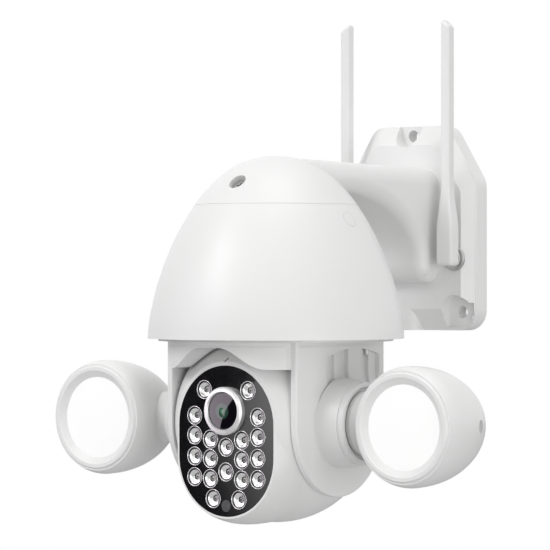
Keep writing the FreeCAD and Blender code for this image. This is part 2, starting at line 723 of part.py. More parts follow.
def make_pan_motor():
    """Geared stepper motor with two lugs, standing on the deck posts."""
    centre = motor_centre()
    top = MOTOR_BOTTOM + MOTOR_LENGTH
    x, y = centre.x, centre.y
    motor = rod(MOTOR_RADIUS, (x, y, MOTOR_BOTTOM), (x, y, top))
    motor = motor.fuse(rod(4.5, (x, y, MOTOR_BOTTOM - 1.2), (x, y, MOTOR_BOTTOM)))
    along = (motor_lugs()[0] - centre).normalize()
    bar = box(-MOTOR_LUG_HALF, MOTOR_LUG_HALF, -3.4, 3.4, 0, 1.0)
    for side in (-1, 1):
        bar = bar.fuse(rod(3.4, (side * MOTOR_LUG_HALF, 0, 0), (side * MOTOR_LUG_HALF, 0, 1.0)))
    bar.rotate(Vector(0, 0, 0), Vector(0, 0, 1), math.degrees(math.atan2(along.y, along.x)))
    bar.translate(Vector(x, y, MOTOR_BOTTOM))
    plug = box(-7, 7, -17, -10, 2, 16)
    plug.rotate(Vector(0, 0, 0), Vector(0, 0, 1), MOTOR_ANGLE - 90 + 180)
    plug.translate(Vector(x, y, MOTOR_BOTTOM))
    motor = motor.fuse(bar).fuse(plug)
    return motor.cut(rod(2.5 + RUN_GAP, (x, y, MOTOR_BOTTOM - 2), (x, y, MOTOR_BOTTOM + 3.4)))


def standoff_places():
    """List where the board pillars stand, clear of the motor."""
    return [(33.0 * math.cos(math.radians(a)), 33.0 * math.sin(math.radians(a))) for a in (0, 120, 180, 270)]


def make_board_standoffs():
    """Four brass pillars between the deck and the main board."""
    return group([rod(2.6, (x, y, DECK_BOTTOM + DECK_THICK), (x, y, BOARD_HEIGHT)) for x, y in standoff_places()])


def make_main_board():
    """Round main circuit board."""
    board = rod(BOARD_RADIUS, (0, 0, BOARD_HEIGHT), (0, 0, BOARD_HEIGHT + BOARD_THICK))
    return board.cut(rod(5.0, (0, 0, BOARD_HEIGHT - 1), (0, 0, BOARD_HEIGHT + 3)))


def make_board_parts():
    """Connectors, chips and shield can on the main board."""
    base = BOARD_HEIGHT + BOARD_THICK
    parts = [box(-8, 8, -28, -12, base, base + 2.2), box(8, 24, 6, 20, base, base + 3.0)]
    parts += [box(-26, -13, -4, 12, base, base + 7.5), box(14, 21, -14, -4, base, base + 5.0)]
    parts += [rod(3.0, (-8, 22, base), (-8, 22, base + 8.0)), rod(3.0, (0, 22, base), (0, 22, base + 8.0))]
    return group(parts)


# ---- Turntable and yoke ----

def make_turntable():
    """Turning disc under the dome, with a hat over the eye and the hollow spindle."""
    top = TABLE_BOTTOM + TABLE_THICK
    disc = rod(TABLE_RADIUS, (0, 0, TABLE_BOTTOM), (0, 0, top))
    hat = rod(HAT_RADIUS, (0, 0, top - 1), (0, 0, HAT_TOP))
    room = rod(HAT_RADIUS - HAT_WALL, (0, 0, TABLE_BOTTOM - 1), (0, 0, HAT_TOP - HAT_WALL))
    table = disc.fuse(hat).cut(room)
    table = table.fuse(rod(SPINDLE_RADIUS, (0, 0, HAT_TOP - 1), (0, 0, SPINDLE_TOP)))
    table = table.fuse(rod(12.0, (0, 0, HAT_TOP - 1), (0, 0, DECK_BOTTOM - 1.0)))
    table = table.cut(rod(6.0, (0, 0, HAT_TOP - 5), (0, 0, SPINDLE_TOP + 1)))
    for x, y in yoke_screw_places():
        table = table.cut(rod(1.2, (x, y, TABLE_BOTTOM - 1), (x, y, top + 1)))
    return table.removeSplitter()


def yoke_screw_places():
    """List where the screws from the turntable into the yoke sides go."""
    x = YOKE_HALF_WIDTH - SIDE_THICK / 2
    return [(-x, -24.0), (x, -24.0), (-x, 24.0), (x, 24.0)]


def make_yoke_screws():
    """Four screws holding the yoke sides to the turntable."""
    top = TABLE_BOTTOM + TABLE_THICK
    screws = []
    for x, y in yoke_screw_places():
        screws.append(rod(1.2, (x, y, TABLE_BOTTOM - 7), (x, y, top)).fuse(rod(2.3, (x, y, top), (x, y, top + 1.6))))
    return group(screws)


def wave_block():
    """Make the space under the wave-shaped lower edge of the visors."""
    points = []
    for i in range(-12, 13):
        x = YOKE_HALF_WIDTH * i / 12
        share = (abs(x) - WAVE_START) / (WAVE_END - WAVE_START)
        share = max(0.0, min(1.0, share))
        rise = (WAVE_PEAK - WAVE_FOOT) * (1 + math.cos(math.pi * share)) / 2
        points.append(Vector(x, -80, WAVE_FOOT + rise))
    curve = Part.BSplineCurve()
    curve.interpolate(points)
    low_left = Vector(points[0].x, -80, -80)
    low_right = Vector(points[-1].x, -80, -80)
    lines = [Part.makeLine(points[-1], low_right), Part.makeLine(low_right, low_left)]
    lines.append(Part.makeLine(low_left, points[0]))
    return Part.Face(Part.Wire([curve.toShape()] + lines)).extrude(Vector(0, 160, 0))


def make_front_visor():
    """Hood over the eye: rounded front, wave-shaped lower edge, ball-shaped cavity behind."""
    half = YOKE_HALF_WIDTH - SIDE_THICK
    visor = rod(YOKE_RADIUS, (0, 0, 20), (0, 0, TABLE_BOTTOM))
    visor = visor.common(box(-half, half, -80, -12, 20, TABLE_BOTTOM))
    visor = visor.cut(wave_block()).cut(Part.makeSphere(CAVITY_RADIUS, Vector(0, 0, 0), Vector(1, 0, 0)))
    visor = visor.cut(rod(HAT_RADIUS - HAT_WALL, (0, 0, 20), (0, 0, TABLE_BOTTOM + 1)))
    groove = tube(YOKE_RADIUS + 1, YOKE_RADIUS - 0.4, (0, 0, TABLE_BOTTOM - 2.2), (0, 0, TABLE_BOTTOM - 1.8))
    return visor.cut(groove).removeSplitter()


def make_rear_visor():
    """Matching hood at the back of the yoke."""
    return make_front_visor().mirror(Vector(0, 0, 0), Vector(0, 1, 0))


def side_slab(x0, x1, depth):
    """Make a yoke side: square above the tilt axis and a half round below it."""
    slab = box(x0, x1, -depth, depth, 0, TABLE_BOTTOM).fuse(rod(depth, (x0, 0, 0), (x1, 0, 0)))
    return slab.common(rod(YOKE_RADIUS, (0, 0, -80), (0, 0, TABLE_BOTTOM)))


def arch_block():
    """Make the block under the arch that the vents end at."""
    inside = YOKE_HALF_WIDTH - SIDE_THICK
    points = []
    for step in range(-8, 9):
        y = VENT_CENTRE + VENT_HALF_SPAN * step / 8
        points.append(Vector(inside, y, VENT_PEAK - (y - VENT_CENTRE) ** 2 / VENT_SPREAD))
    curve = Part.BSplineCurve()
    curve.interpolate(points)
    low = Vector(inside, points[0].y, 0)
    far = Vector(inside, points[-1].y, 0)
    edges = [curve.toShape(), Part.makeLine(points[-1], far), Part.makeLine(far, low)]
    edges.append(Part.makeLine(low, points[0]))
    return Part.Face(Part.Wire(edges)).extrude(Vector(SIDE_THICK + 2, 0, 0))


def vent_cut(y0, y1, depth):
    """Make a blind vent slot, with a floor that slopes out to the surface below."""
    outer = YOKE_HALF_WIDTH
    corners = [Vector(outer + 1, y0, VENT_FOOT - 1), Vector(outer - depth, y0, VENT_PEAK - 12)]
    corners += [Vector(outer - depth, y0, VENT_PEAK + 1), Vector(outer + 1, y0, VENT_PEAK + 1)]
    face = Part.Face(Part.makePolygon(corners + corners[:1]))
    return face.extrude(Vector(0, y1 - y0, 0)).common(arch_block())


def make_yoke_side():
    """Yoke side with vents and the hollow boss for a lamp, drawn for the +X side."""
    inner = YOKE_HALF_WIDTH - SIDE_THICK
    outer = YOKE_HALF_WIDTH
    depth = math.sqrt(YOKE_RADIUS ** 2 - YOKE_HALF_WIDTH ** 2)
    side = side_slab(inner, outer, depth)
    rim = []
    for edge in side.Edges:
        bounds = edge.BoundBox
        on_face = bounds.XMin > outer - 0.01
        if on_face and bounds.ZMin < TABLE_BOTTOM - 0.01:
            rim.append(edge)
    side = side.makeFillet(1.2, rim)
    boss = cone(BOSS_ROOT, BOSS_RADIUS, (outer, 0, 0), (BOSS_END, 0, 0))
    boss = boss.fuse(rod(BOSS_ROOT, (outer - 1, 0, 0), (outer, 0, 0)))
    boss = boss.cut(rod(BOSS_RADIUS - 2.6, (outer + 1, 0, 0), (BOSS_END + 1, 0, 0)))
    side = side.fuse(boss)
    for y0, y1, cut_depth in VENTS:
        side = side.cut(vent_cut(y0, y1, cut_depth))
    side = side.cut(rod(SHAFT_RADIUS, (inner - 1, 0, 0), (outer + 6, 0, 0)))
    side = side.cut(box(outer - 0.4, outer + 1, -60, 60, TABLE_BOTTOM - 2.2, TABLE_BOTTOM - 1.8))
    for x, y in yoke_screw_places():
        side = side.cut(rod(1.2, (x, y, TABLE_BOTTOM - 7), (x, y, TABLE_BOTTOM + 1)))
    return side.removeSplitter()


def make_lamp_collar():
    """Collar closing the boss, in which the lamp neck turns. Drawn for the +X side."""
    plug = BOSS_RADIUS - 2.6
    points = [(NECK_RADIUS + RUN_GAP, COLLAR_START), (plug, COLLAR_START), (plug, BOSS_END)]
    points += [(COLLAR_RADIUS, BOSS_END), (COLLAR_RADIUS, COLLAR_END - 0.6), (COLLAR_RADIUS - 0.6, COLLAR_END)]
    points += [(COLLAR_RADIUS - 2.0, COLLAR_END), (COLLAR_RADIUS - 3.2, COLLAR_END - 2.2)]
    points.append((NECK_RADIUS + RUN_GAP, COLLAR_END - 2.2))
    return turned(points, Vector(0, 0, 0), Vector(1, 0, 0))


def make_tilt_shaft():
    """Fixed shaft on the +X side: hub in the yoke and a thin end inside the tilt motor."""
    outer = YOKE_HALF_WIDTH
    inner = BALL_FLAT - BALL_WALL - 4.0
    shaft = rod(SHAFT_RADIUS, (inner, 0, 0), (outer + 1, 0, 0))
    shaft = shaft.fuse(rod(BUSH_RADIUS + 1, (outer + 1, 0, 0), (outer + 2.6, 0, 0)))
    return shaft.fuse(rod(2.5, (inner - 7.0, 0, 0), (inner, 0, 0)))


def make_tilt_stub():
    """Hollow fixed stub on the -X side, through which the eye's wires pass."""
    outer = YOKE_HALF_WIDTH
    inner = BALL_FLAT - BALL_WALL - 1.5
    stub = rod(SHAFT_RADIUS, (-inner, 0, 0), (-outer - 1, 0, 0))
    stub = stub.fuse(rod(BUSH_RADIUS + 1, (-outer - 1, 0, 0), (-outer - 2.6, 0, 0)))
    return stub.cut(rod(3.0, (-inner + 1, 0, 0), (-outer - 4, 0, 0)))


# ---- Eye ----


def snout(inset):
    """Loft from the face outline back into the ball."""
    sections = []
    for share in (0.0, 0.05, 0.1, 0.16, 0.24, 0.34, 0.46, 0.6, 0.8, 1.0):
        y = FACE_FRONT * (1 - share)
        width = PANEL_HALF_WIDTH + PANEL_RIM + SNOUT_WIDEN * (1 - (1 - share) ** 4)
        height = PANEL_HALF_HEIGHT + PANEL_RIM + SNOUT_DEEPEN * (1 - (1 - share) ** 3.5)
        rise = PANEL_CENTRE + SNOUT_LIFT * (1 - (1 - share) ** 1.6)
        sections.append(stadium(width - inset, height - inset, rise, y))
    return Part.makeLoft(sections, True, True)


def ball_solid(inset):
    """Make the eye outside: ball, snout and flat sides."""
    flat = BALL_FLAT - inset
    ball = Part.makeSphere(BALL_RADIUS - inset, Vector(0, 0, 0), Vector(1, 0, 0))
    body = ball.fuse(snout(inset))
    front = FACE_FRONT + (PANEL_THICK + 1.0 if inset else 0.0)
    return body.common(box(-flat, flat, front, 80, -80, 80))


def make_eye_shell():
    """Main shell of the eye with the window seat, bush holes and motor posts."""
    shell = ball_solid(0).cut(ball_solid(BALL_WALL))
    shell = shell.common(box(-80, 80, -80, CAP_SPLIT, -80, 80))
    seat = stadium_block(PANEL_HALF_WIDTH, PANEL_HALF_HEIGHT, FACE_FRONT - 1, FACE_FRONT + PANEL_THICK)
    opening = stadium_block(PANEL_HALF_WIDTH - PANEL_LAND, PANEL_HALF_HEIGHT - PANEL_LAND, FACE_FRONT - 1,
                            FACE_FRONT + 6)
    shell = shell.cut(seat).cut(opening)
    inner = BALL_FLAT - BALL_WALL
    for side in (-1, 1):
        shell = shell.cut(rod(BUSH_RADIUS, (side * (inner - 2), 0, 0), (side * (BALL_FLAT + 1), 0, 0)))
    for z in (-MOTOR_LUG_HALF, MOTOR_LUG_HALF):
        shell = shell.fuse(rod(3.0, (MOTOR_FACE, 0, z), (inner + 1, 0, z)))
    slot = box(-0.5, 0.5, -60, -20, -1.3, 1.3)
    slot.rotate(Vector(0, 0, 0), Vector(0, 1, 0), 40)
    slot.translate(Vector(0, 0, 31.8))
    return shell.cut(slot).removeSplitter()


def make_eye_rear_cap():
    """Rear of the eye, a shallow ball-shaped lid."""
    return ball_solid(0).cut(ball_solid(BALL_WALL)).common(box(-80, 80, CAP_SPLIT, 80, -80, 80))


def led_places():
    """List every light cup on the face, in the head frame."""
    return [(x, PANEL_CENTRE + z) for x, z in ROUND_LEDS + SLOT_LEDS]


def make_eye_panel():
    """Glossy face panel with openings for the lens, cups and light sensor."""
    panel = stadium_block(PANEL_HALF_WIDTH, PANEL_HALF_HEIGHT, FACE_FRONT, FACE_FRONT + PANEL_THICK)
    deep = FACE_FRONT + 5
    lens = PANEL_CENTRE + LENS_RISE
    panel = panel.cut(rod(LENS_RADIUS, (0, -60, lens), (0, deep, lens)))
    for x, z in led_places():
        panel = panel.cut(rod(CUP_RADIUS, (x, -60, z), (x, deep, z)))
    drop = PANEL_CENTRE - SENSOR_DROP
    return panel.cut(rod(SENSOR_RADIUS, (0, -60, drop), (0, deep, drop)))


def make_led_cups():
    """Bright reflector cups, one round each light."""
    front = FACE_FRONT + 0.2
    back = front + CUP_DEPTH
    cups = []
    for x, z in led_places():
        points = [(CUP_RADIUS, front), (CUP_RADIUS, back), (EMITTER_RADIUS + 0.15, back)]
        points += [(EMITTER_RADIUS + 0.15, back - 0.8), (2.3, back - 1.4), (3.2, back - 2.4), (3.9, back - 3.7)]
        points.append((CUP_RADIUS - 0.5, front))
        cups.append(turned(points, Vector(x, 0, z), Vector(0, 1, 0)))
    return group(cups)


def make_emitters_white():
    """Domed white light emitters in the round cups."""
    emitters = []
    for x, dz in ROUND_LEDS:
        z = PANEL_CENTRE + dz
        body = rod(EMITTER_RADIUS, (x, BOARD_FRONT - 1.4, z), (x, BOARD_FRONT, z))
        dome = Part.makeSphere(EMITTER_RADIUS, Vector(x, BOARD_FRONT - 1.4, z))
        emitters.append(body.fuse(dome))
    return group(emitters)


def make_emitters_infrared():
    """Flat-topped infrared emitters in the other cups."""
    emitters = []
    for x, dz in SLOT_LEDS:
        z = PANEL_CENTRE + dz
        body = rod(EMITTER_RADIUS, (x, BOARD_FRONT - 1.8, z), (x, BOARD_FRONT, z))
        emitters.append(body.fuse(rod(0.7, (x, BOARD_FRONT - 2.4, z), (x, BOARD_FRONT - 1.8, z))))
    return group(emitters)


def make_led_board():
    """Circuit board behind the cups."""
    board = stadium_block(PANEL_HALF_WIDTH - 2.1, PANEL_HALF_HEIGHT - 2.1, BOARD_FRONT, BOARD_FRONT + BOARD_THICK)
    lens = PANEL_CENTRE + LENS_RISE
    return board.cut(rod(WINDOW_RADIUS + 0.5, (0, -60, lens), (0, 0, lens)))


def make_lens_ring():
    """Silver ring round the lens."""
    front = FACE_FRONT - LENS_PROUD
    back = FACE_FRONT + PANEL_THICK
    points = [(WINDOW_RADIUS, front + 0.9), (WINDOW_RADIUS + 0.5, front), (LENS_RADIUS - 0.9, front + 0.3)]
    points += [(LENS_RADIUS, front + 1.2), (LENS_RADIUS, back), (WINDOW_RADIUS, back)]
    return turned(points, Vector(0, 0, PANEL_CENTRE + LENS_RISE), Vector(0, 1, 0))


def make_lens_glass():
    """Slightly domed front glass of the lens."""
    z = PANEL_CENTRE + LENS_RISE
    front = FACE_FRONT - LENS_PROUD
    disc = rod(WINDOW_RADIUS, (0, front + 1.0, z), (0, FACE_FRONT - 0.2, z))
    radius = 34.0
    dome = Part.makeSphere(radius, Vector(0, front + 1.3 + radius, z))
    return disc.common(dome)


def make_lens_barrel():
    """Lens barrel with its stepped throat and square holder."""
    z = PANEL_CENTRE + LENS_RISE
    front = FACE_FRONT - 0.2
    points = [(WINDOW_RADIUS, front), (WINDOW_RADIUS, -25.0), (6.0, -25.0), (6.0, front + 5.0)]
    points += [(7.2, front + 5.0), (7.2, front + 2.4), (8.4, front + 2.4), (8.4, front)]
    barrel = turned(points, Vector(0, 0, z), Vector(0, 1, 0))
    inner_lens = Part.makeSphere(9.0, Vector(0, front + 5.4 + 9.0, z)).common(
        rod(6.0, (0, front + 5.0, z), (0, front + 10.0, z)))
    holder = box(-10.5, 10.5, -25.0, -21.5, z - 10.5, z + 10.5)
    return barrel.fuse(inner_lens).fuse(holder)


def make_sensor_board():
    """Image sensor board behind the lens holder."""
    z = PANEL_CENTRE + LENS_RISE
    return box(-15, 15, -21.5, -21.5 + BOARD_THICK, z - 15, z + 15)


def make_light_sensor():
    """Light sensor at the bottom of the face."""
    z = PANEL_CENTRE - SENSOR_DROP
    return rod(SENSOR_RADIUS, (0, FACE_FRONT + 0.15, z), (0, BOARD_FRONT, z))


def make_tilt_motor():
    """Geared stepper motor inside the eye, turning it about the fixed shaft."""
    face = MOTOR_FACE
    inner = BALL_FLAT - BALL_WALL - 4.0
    motor = rod(MOTOR_RADIUS, (face - MOTOR_LENGTH, 0, 0), (face, 0, 0))
    motor = motor.fuse(rod(4.5, (face, 0, 0), (inner - 0.6, 0, 0)))
    bar = box(face - 1.0, face, -3.4, 3.4, -MOTOR_LUG_HALF, MOTOR_LUG_HALF)
    for z in (-MOTOR_LUG_HALF, MOTOR_LUG_HALF):
        bar = bar.fuse(rod(3.4, (face - 1.0, 0, z), (face, 0, z)))
    motor = motor.fuse(bar)
    return motor.cut(rod(2.5 + RUN_GAP, (inner - 7.6, 0, 0), (face + 6, 0, 0)))


def make_tilt_bush():
    """Plain bush in the side of the eye, drawn for the +X side."""
    inner = BALL_FLAT - BALL_WALL
    return tube(BUSH_RADIUS, SHAFT_RADIUS + RUN_GAP, (inner - 0.8, 0, 0), (BALL_FLAT + 0.4, 0, 0))


# ---- Lamps, drawn at X = LAMP_OFFSET ----

def lamp_solid(inset):
    """Turn the egg shape of a lamp about its own axis."""
    radius = LAMP_RADIUS - inset
    length = LAMP_LENGTH - inset
    centre = Vector(LAMP_OFFSET, 0, 0)
    rear = []
    for i in range(13):
        angle = math.pi / 2 * i / 12
        rear.append(Vector(LAMP_OFFSET, LAMP_WAIST + length * math.sin(angle), radius * math.cos(angle)))
    curve = Part.BSplineCurve()
    curve.interpolate(rear, InitialTangent=Vector(0, 1, 0), FinalTangent=Vector(0, 0, -1))
    lip_y = LAMP_FRONT
    lip = LAMP_LIP + 0.9 - inset
    front_end = Vector(LAMP_OFFSET, lip_y, lip)
    middle = Vector(LAMP_OFFSET, LAMP_WAIST - 5.6, radius - 0.42)
    bow = Part.Arc(front_end, middle, rear[0])
    axis = Part.makeLine(rear[-1], Vector(LAMP_OFFSET, lip_y, 0))
    face_line = Part.makeLine(Vector(LAMP_OFFSET, lip_y, 0), front_end)
    face = Part.Face(Part.Wire([curve.toShape(), axis, face_line, bow.toShape()]))
    return face.revolve(centre, Vector(0, 1, 0), 360)


def lamp_screw_frame():
    """Give the centre and outward direction of the screw recess on the lamp."""
    share = (LAMP_SCREW_Y - LAMP_WAIST) / LAMP_LENGTH
    radius = LAMP_RADIUS * math.sqrt(1 - share ** 2)
    outward = Vector(radius / LAMP_RADIUS ** 2, (LAMP_SCREW_Y - LAMP_WAIST) / LAMP_LENGTH ** 2, 0).normalize()
    return Vector(LAMP_OFFSET + radius, LAMP_SCREW_Y, 0), outward


def lamp_rod(radius, depth_in, depth_out):
    """Make a rod along the lamp screw axis."""
    centre, outward = lamp_screw_frame()
    return rod(radius, tuple(centre - outward * depth_in), tuple(centre + outward * depth_out))


def make_lamp_shell():
    """Egg-shaped lamp housing, open at the front."""
    outer = lamp_solid(0)
    hollow = lamp_solid(LAMP_WALL)
    mouth = rod(LAMP_LIP, (LAMP_OFFSET, LAMP_FRONT - 1, 0), (LAMP_OFFSET, -14.4, 0))
    tube_boss = lamp_rod(LAMP_RECESS_RADIUS + 1.8, 9.0, 3.0).common(lamp_solid(LAMP_WALL / 2))
    neck_boss = rod(NECK_RADIUS - 2.5, (LAMP_OFFSET - 27, 0, 0), (LAMP_OFFSET - 21, 0, 0))
    neck_boss = neck_boss.common(lamp_solid(LAMP_WALL / 2))
    shell = outer.cut(hollow).cut(mouth).fuse(tube_boss).fuse(neck_boss)
    shell = shell.cut(lamp_rod(LAMP_RECESS_RADIUS, 6.0, 6.0)).cut(lamp_rod(1.3, 8.5, 6.0))
    return shell.cut(rod(4.0, (LAMP_OFFSET - 40, 0, 0), (LAMP_OFFSET - 20, 0, 0))).removeSplitter()


def make_lamp_screw():
    """Closing screw at the bottom of the lamp recess."""
    screw = lamp_rod(2.7, 6.0, -4.4).fuse(lamp_rod(1.3, 8.3, -6.0))
    centre, outward = lamp_screw_frame()
    slot = box(-1.7, 1.7, -0.35, 0.35, 0, 2).fuse(box(-0.35, 0.35, -1.7, 1.7, 0, 2))
    slot.Placement = FreeCAD.Placement(centre - outward * 5.2, FreeCAD.Rotation(Vector(0, 0, 1), outward))
    return screw.cut(slot)


def make_lamp_bezel():
    """Stepped ring round the light, with a skirt that holds the light board."""
    lip = LAMP_LIP
    points = [(lip, -16.0), (lip, BEZEL_FRONT + 0.8), (lip - 0.8, BEZEL_FRONT), (BEZEL_INNER + 0.5, BEZEL_FRONT)]
    points += [(BEZEL_INNER, BEZEL_FRONT + 0.5), (GLOW_RADIUS + 0.2, GLOW_FRONT), (GLOW_RADIUS, GLOW_FRONT + 0.3)]
    points += [(GLOW_RADIUS, -22.4), (24.6, -22.4), (24.6, -16.0)]
    return turned(points, Vector(LAMP_OFFSET, 0, 0), Vector(0, 1, 0))


def make_lamp_diffuser():
    """Opal window in front of the lights, very slightly domed."""
    disc = rod(GLOW_RADIUS, (LAMP_OFFSET, GLOW_FRONT - 0.6, 0), (LAMP_OFFSET, GLOW_FRONT + 2.4, 0))
    radius = 300.0
    return disc.common(Part.makeSphere(radius, Vector(LAMP_OFFSET, GLOW_FRONT - 0.6 + radius, 0)))


def make_lamp_board():
    """Aluminium light board with its ring of light chips."""
    board = rod(LAMP_LIP, (LAMP_OFFSET, -16.0, 0), (LAMP_OFFSET, -14.4, 0))
    for i in range(12):
        angle = 2 * math.pi * i / 12
        x = LAMP_OFFSET + 15 * math.cos(angle)
        z = 15 * math.sin(angle)
        board = board.fuse(box(x - 1.75, x + 1.75, -16.7, -15.9, z - 1.4, z + 1.4))
    return board


def make_lamp_neck():
    """Swivel neck from the lamp into the yoke collar, drawn for the +X side."""
    points = [(4.0, COLLAR_START - 4.0), (NECK_FLANGE, COLLAR_START - 4.0), (NECK_FLANGE, COLLAR_START - 0.35)]
    points += [(NECK_RADIUS, COLLAR_START - 0.35), (NECK_RADIUS, COLLAR_END - 1.8), (16.4, COLLAR_END - 1.2)]
    points += [(16.4, COLLAR_END + 0.8), (14.0, COLLAR_END + 3.5), (13.0, LAMP_OFFSET - 20), (4.0, LAMP_OFFSET - 20)]
    neck = turned(points, Vector(0, 0, 0), Vector(1, 0, 0))
    neck = neck.cut(lamp_solid(0))
    return max(neck.Solids, key=lambda s: s.Volume)


def save(name, shape):
    """Write one node as a STEP file."""
    shape.exportStep(os.path.join("parts", name + ".step"))


def main():
    """Build and save every node."""
    os.makedirs("parts", exist_ok=True)
    save("cap_and_arm", make_arm_with_lugs())
    save("wall_plate", make_wall_plate())
    save("arm_screws", make_arm_screws())
    save("cable_grommet", make_cable_grommet())
    in_head = {
        "dome_skirt": make_dome_skirt, "skirt_plugs": make_skirt_plugs, "cap_screw": make_cap_screw,
        "cap_gasket": make_cap_gasket, "deck_plate": make_deck_plate, "pan_bearing": make_pan_bearing,
        "pan_motor": make_pan_motor, "pan_pinion": make_pan_pinion, "pan_gear": make_pan_gear,
        "board_standoffs": make_board_standoffs, "main_board": make_main_board,
        "board_parts": make_board_parts, "turntable": make_turntable, "yoke_screws": make_yoke_screws,
        "front_visor": make_front_visor, "rear_visor": make_rear_visor, "tilt_shaft": make_tilt_shaft,
        "tilt_stub": make_tilt_stub, "eye_shell": make_eye_shell, "eye_rear_cap": make_eye_rear_cap,
        "eye_panel": make_eye_panel, "led_cups": make_led_cups, "emitters_white": make_emitters_white,
        "emitters_infrared": make_emitters_infrared, "led_board": make_led_board,
        "lens_ring": make_lens_ring, "lens_glass": make_lens_glass, "lens_barrel": make_lens_barrel,
        "sensor_board": make_sensor_board, "light_sensor": make_light_sensor, "tilt_motor": make_tilt_motor,
    }
    for name, make in in_head.items():
        save(name, head(make()))
    paired_in_head = {
        "yoke_side": make_yoke_side, "lamp_collar": make_lamp_collar, "tilt_bush": make_tilt_bush,
        "lamp_shell": make_lamp_shell, "lamp_screw": make_lamp_screw, "lamp_bezel": make_lamp_bezel,
        "lamp_diffuser": make_lamp_diffuser, "lamp_board": make_lamp_board, "lamp_neck": make_lamp_neck,
    }
    for name, make in paired_in_head.items():
        shape = head(make())
        save(name + "_right", shape)
        save(name + "_left", mirror_x(shape))
    paired_on_wall = {
        "antenna_socket": make_antenna_socket, "antenna_paddle": make_antenna_paddle,
        "antenna_pivot": make_antenna_pivot,
    }
    for name, make in paired_on_wall.items():
        shape = make()
        save(name + "_right", shape)
        save(name + "_left", mirror_x(shape))


main()
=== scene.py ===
"""Finishes, fine surfaces and studio for a wall-mounted pan and tilt floodlight camera."""

import json
import logging
import math
from dataclasses import dataclass
from enum import Enum

import bmesh
import bpy
import numpy as np
from mathutils import Matrix, Vector

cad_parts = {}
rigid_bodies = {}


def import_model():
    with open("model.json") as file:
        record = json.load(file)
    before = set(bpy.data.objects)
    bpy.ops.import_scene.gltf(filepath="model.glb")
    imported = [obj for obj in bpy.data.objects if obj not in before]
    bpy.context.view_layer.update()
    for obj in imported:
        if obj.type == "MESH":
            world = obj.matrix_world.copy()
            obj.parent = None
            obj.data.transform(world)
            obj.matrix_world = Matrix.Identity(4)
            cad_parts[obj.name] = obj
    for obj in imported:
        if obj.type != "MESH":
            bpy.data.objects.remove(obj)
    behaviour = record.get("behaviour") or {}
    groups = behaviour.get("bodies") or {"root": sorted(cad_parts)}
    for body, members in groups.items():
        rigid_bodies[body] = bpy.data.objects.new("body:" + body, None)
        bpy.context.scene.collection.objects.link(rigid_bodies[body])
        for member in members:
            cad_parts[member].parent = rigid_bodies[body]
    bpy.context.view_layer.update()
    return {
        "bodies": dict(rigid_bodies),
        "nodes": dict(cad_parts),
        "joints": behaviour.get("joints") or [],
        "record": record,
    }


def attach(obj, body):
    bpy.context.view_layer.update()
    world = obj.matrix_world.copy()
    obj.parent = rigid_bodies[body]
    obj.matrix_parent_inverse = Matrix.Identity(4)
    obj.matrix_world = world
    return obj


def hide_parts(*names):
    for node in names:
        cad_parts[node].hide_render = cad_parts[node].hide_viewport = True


LOG = logging.getLogger("floodlight_camera")
MM = 0.001


class Side(Enum):
    """The two sides of the camera, with the sign of X on each."""

    LEFT = -1
    RIGHT = 1

    @property
    def word(self) -> str:
        """The side's word, as it ends the names of pieces and bodies."""
        return self.name.lower()


class Graph:
    """Builds one node tree, shader or group, a node at a time."""

    def __init__(self, tree: bpy.types.NodeTree) -> None:
        """Starts on an empty tree.

        Args:
            tree: the node tree to fill.
        """
        self.tree = tree
        tree.nodes.clear()
        self.count = 0

    def add(self, kind: str, inputs: dict | None = None, **settings: object) -> bpy.types.Node:
        """Adds a node.

        Args:
            kind: the node's type name without its ShaderNode beginning.
            inputs: socket name or number to a value or to another node's socket.
            settings: attributes of the node itself.

        Returns:
            The new node.
        """
        node = self.tree.nodes.new(kind if kind.startswith("Node") else "ShaderNode" + kind)
        node.location = (180.0 * self.count, 0.0)
        self.count += 1
        for name, value in settings.items():
            setattr(node, name, value)
        for name, value in (inputs or {}).items():
            if isinstance(value, bpy.types.NodeSocket):
                self.tree.links.new(value, node.inputs[name])
            else:
                node.inputs[name].default_value = value
        return node

    def place(self, group: bpy.types.NodeTree, inputs: dict) -> bpy.types.Node:
        """Adds a shared node group.

        Args:
            group: the group's tree.
            inputs: socket name to a value or a socket.

        Returns:
            The group node.
        """
        node = self.add("Group", node_tree=group)
        for name, value in inputs.items():
            if isinstance(value, bpy.types.NodeSocket):
                self.tree.links.new(value, node.inputs[name])
            else:
                node.inputs[name].default_value = value
        return node

    def math(self, operation: str, first: object, second: object = 0.0) -> bpy.types.NodeSocket:
        """Adds a Math node.

        Args:
            operation: the node's operation.
            first: its first value or socket.
            second: its second value or socket.

        Returns:
            The result's socket.
        """
        node = self.add("Math", {0: first, 1: second}, operation=operation)
        return node.outputs[0]

    def span(self, value: bpy.types.NodeSocket, low: float, high: float,
             start: float = 0.0, end: float = 1.0) -> bpy.types.NodeSocket:
        """Maps a value from start..end to low..high, held at both ends.

        Args:
            value: the socket to map.
            low: result at start.
            high: result at end.
            start: value that gives low.
            end: value that gives high.

        Returns:
            The mapped socket.
        """
        node = self.add("MapRange", {"Value": value, "From Min": start, "From Max": end,
                                     "To Min": low, "To Max": high})
        return node.outputs["Result"]

    def blend(self, share: bpy.types.NodeSocket, first: object, second: object) -> bpy.types.NodeSocket:
        """Mixes two colours by a share.

        Args:
            share: socket from 0, all first, to 1, all second.
            first: colour or socket.
            second: colour or socket.

        Returns:
            The mixed colour's socket.
        """
        node = self.add("Mix", data_type="RGBA")
        self.tree.links.new(share, node.inputs["Factor"])
        for socket, value in ((node.inputs[6], first), (node.inputs[7], second)):
            if isinstance(value, bpy.types.NodeSocket):
                self.tree.links.new(value, socket)
            else:
                socket.default_value = (*value, 1.0)
        return node.outputs[2]


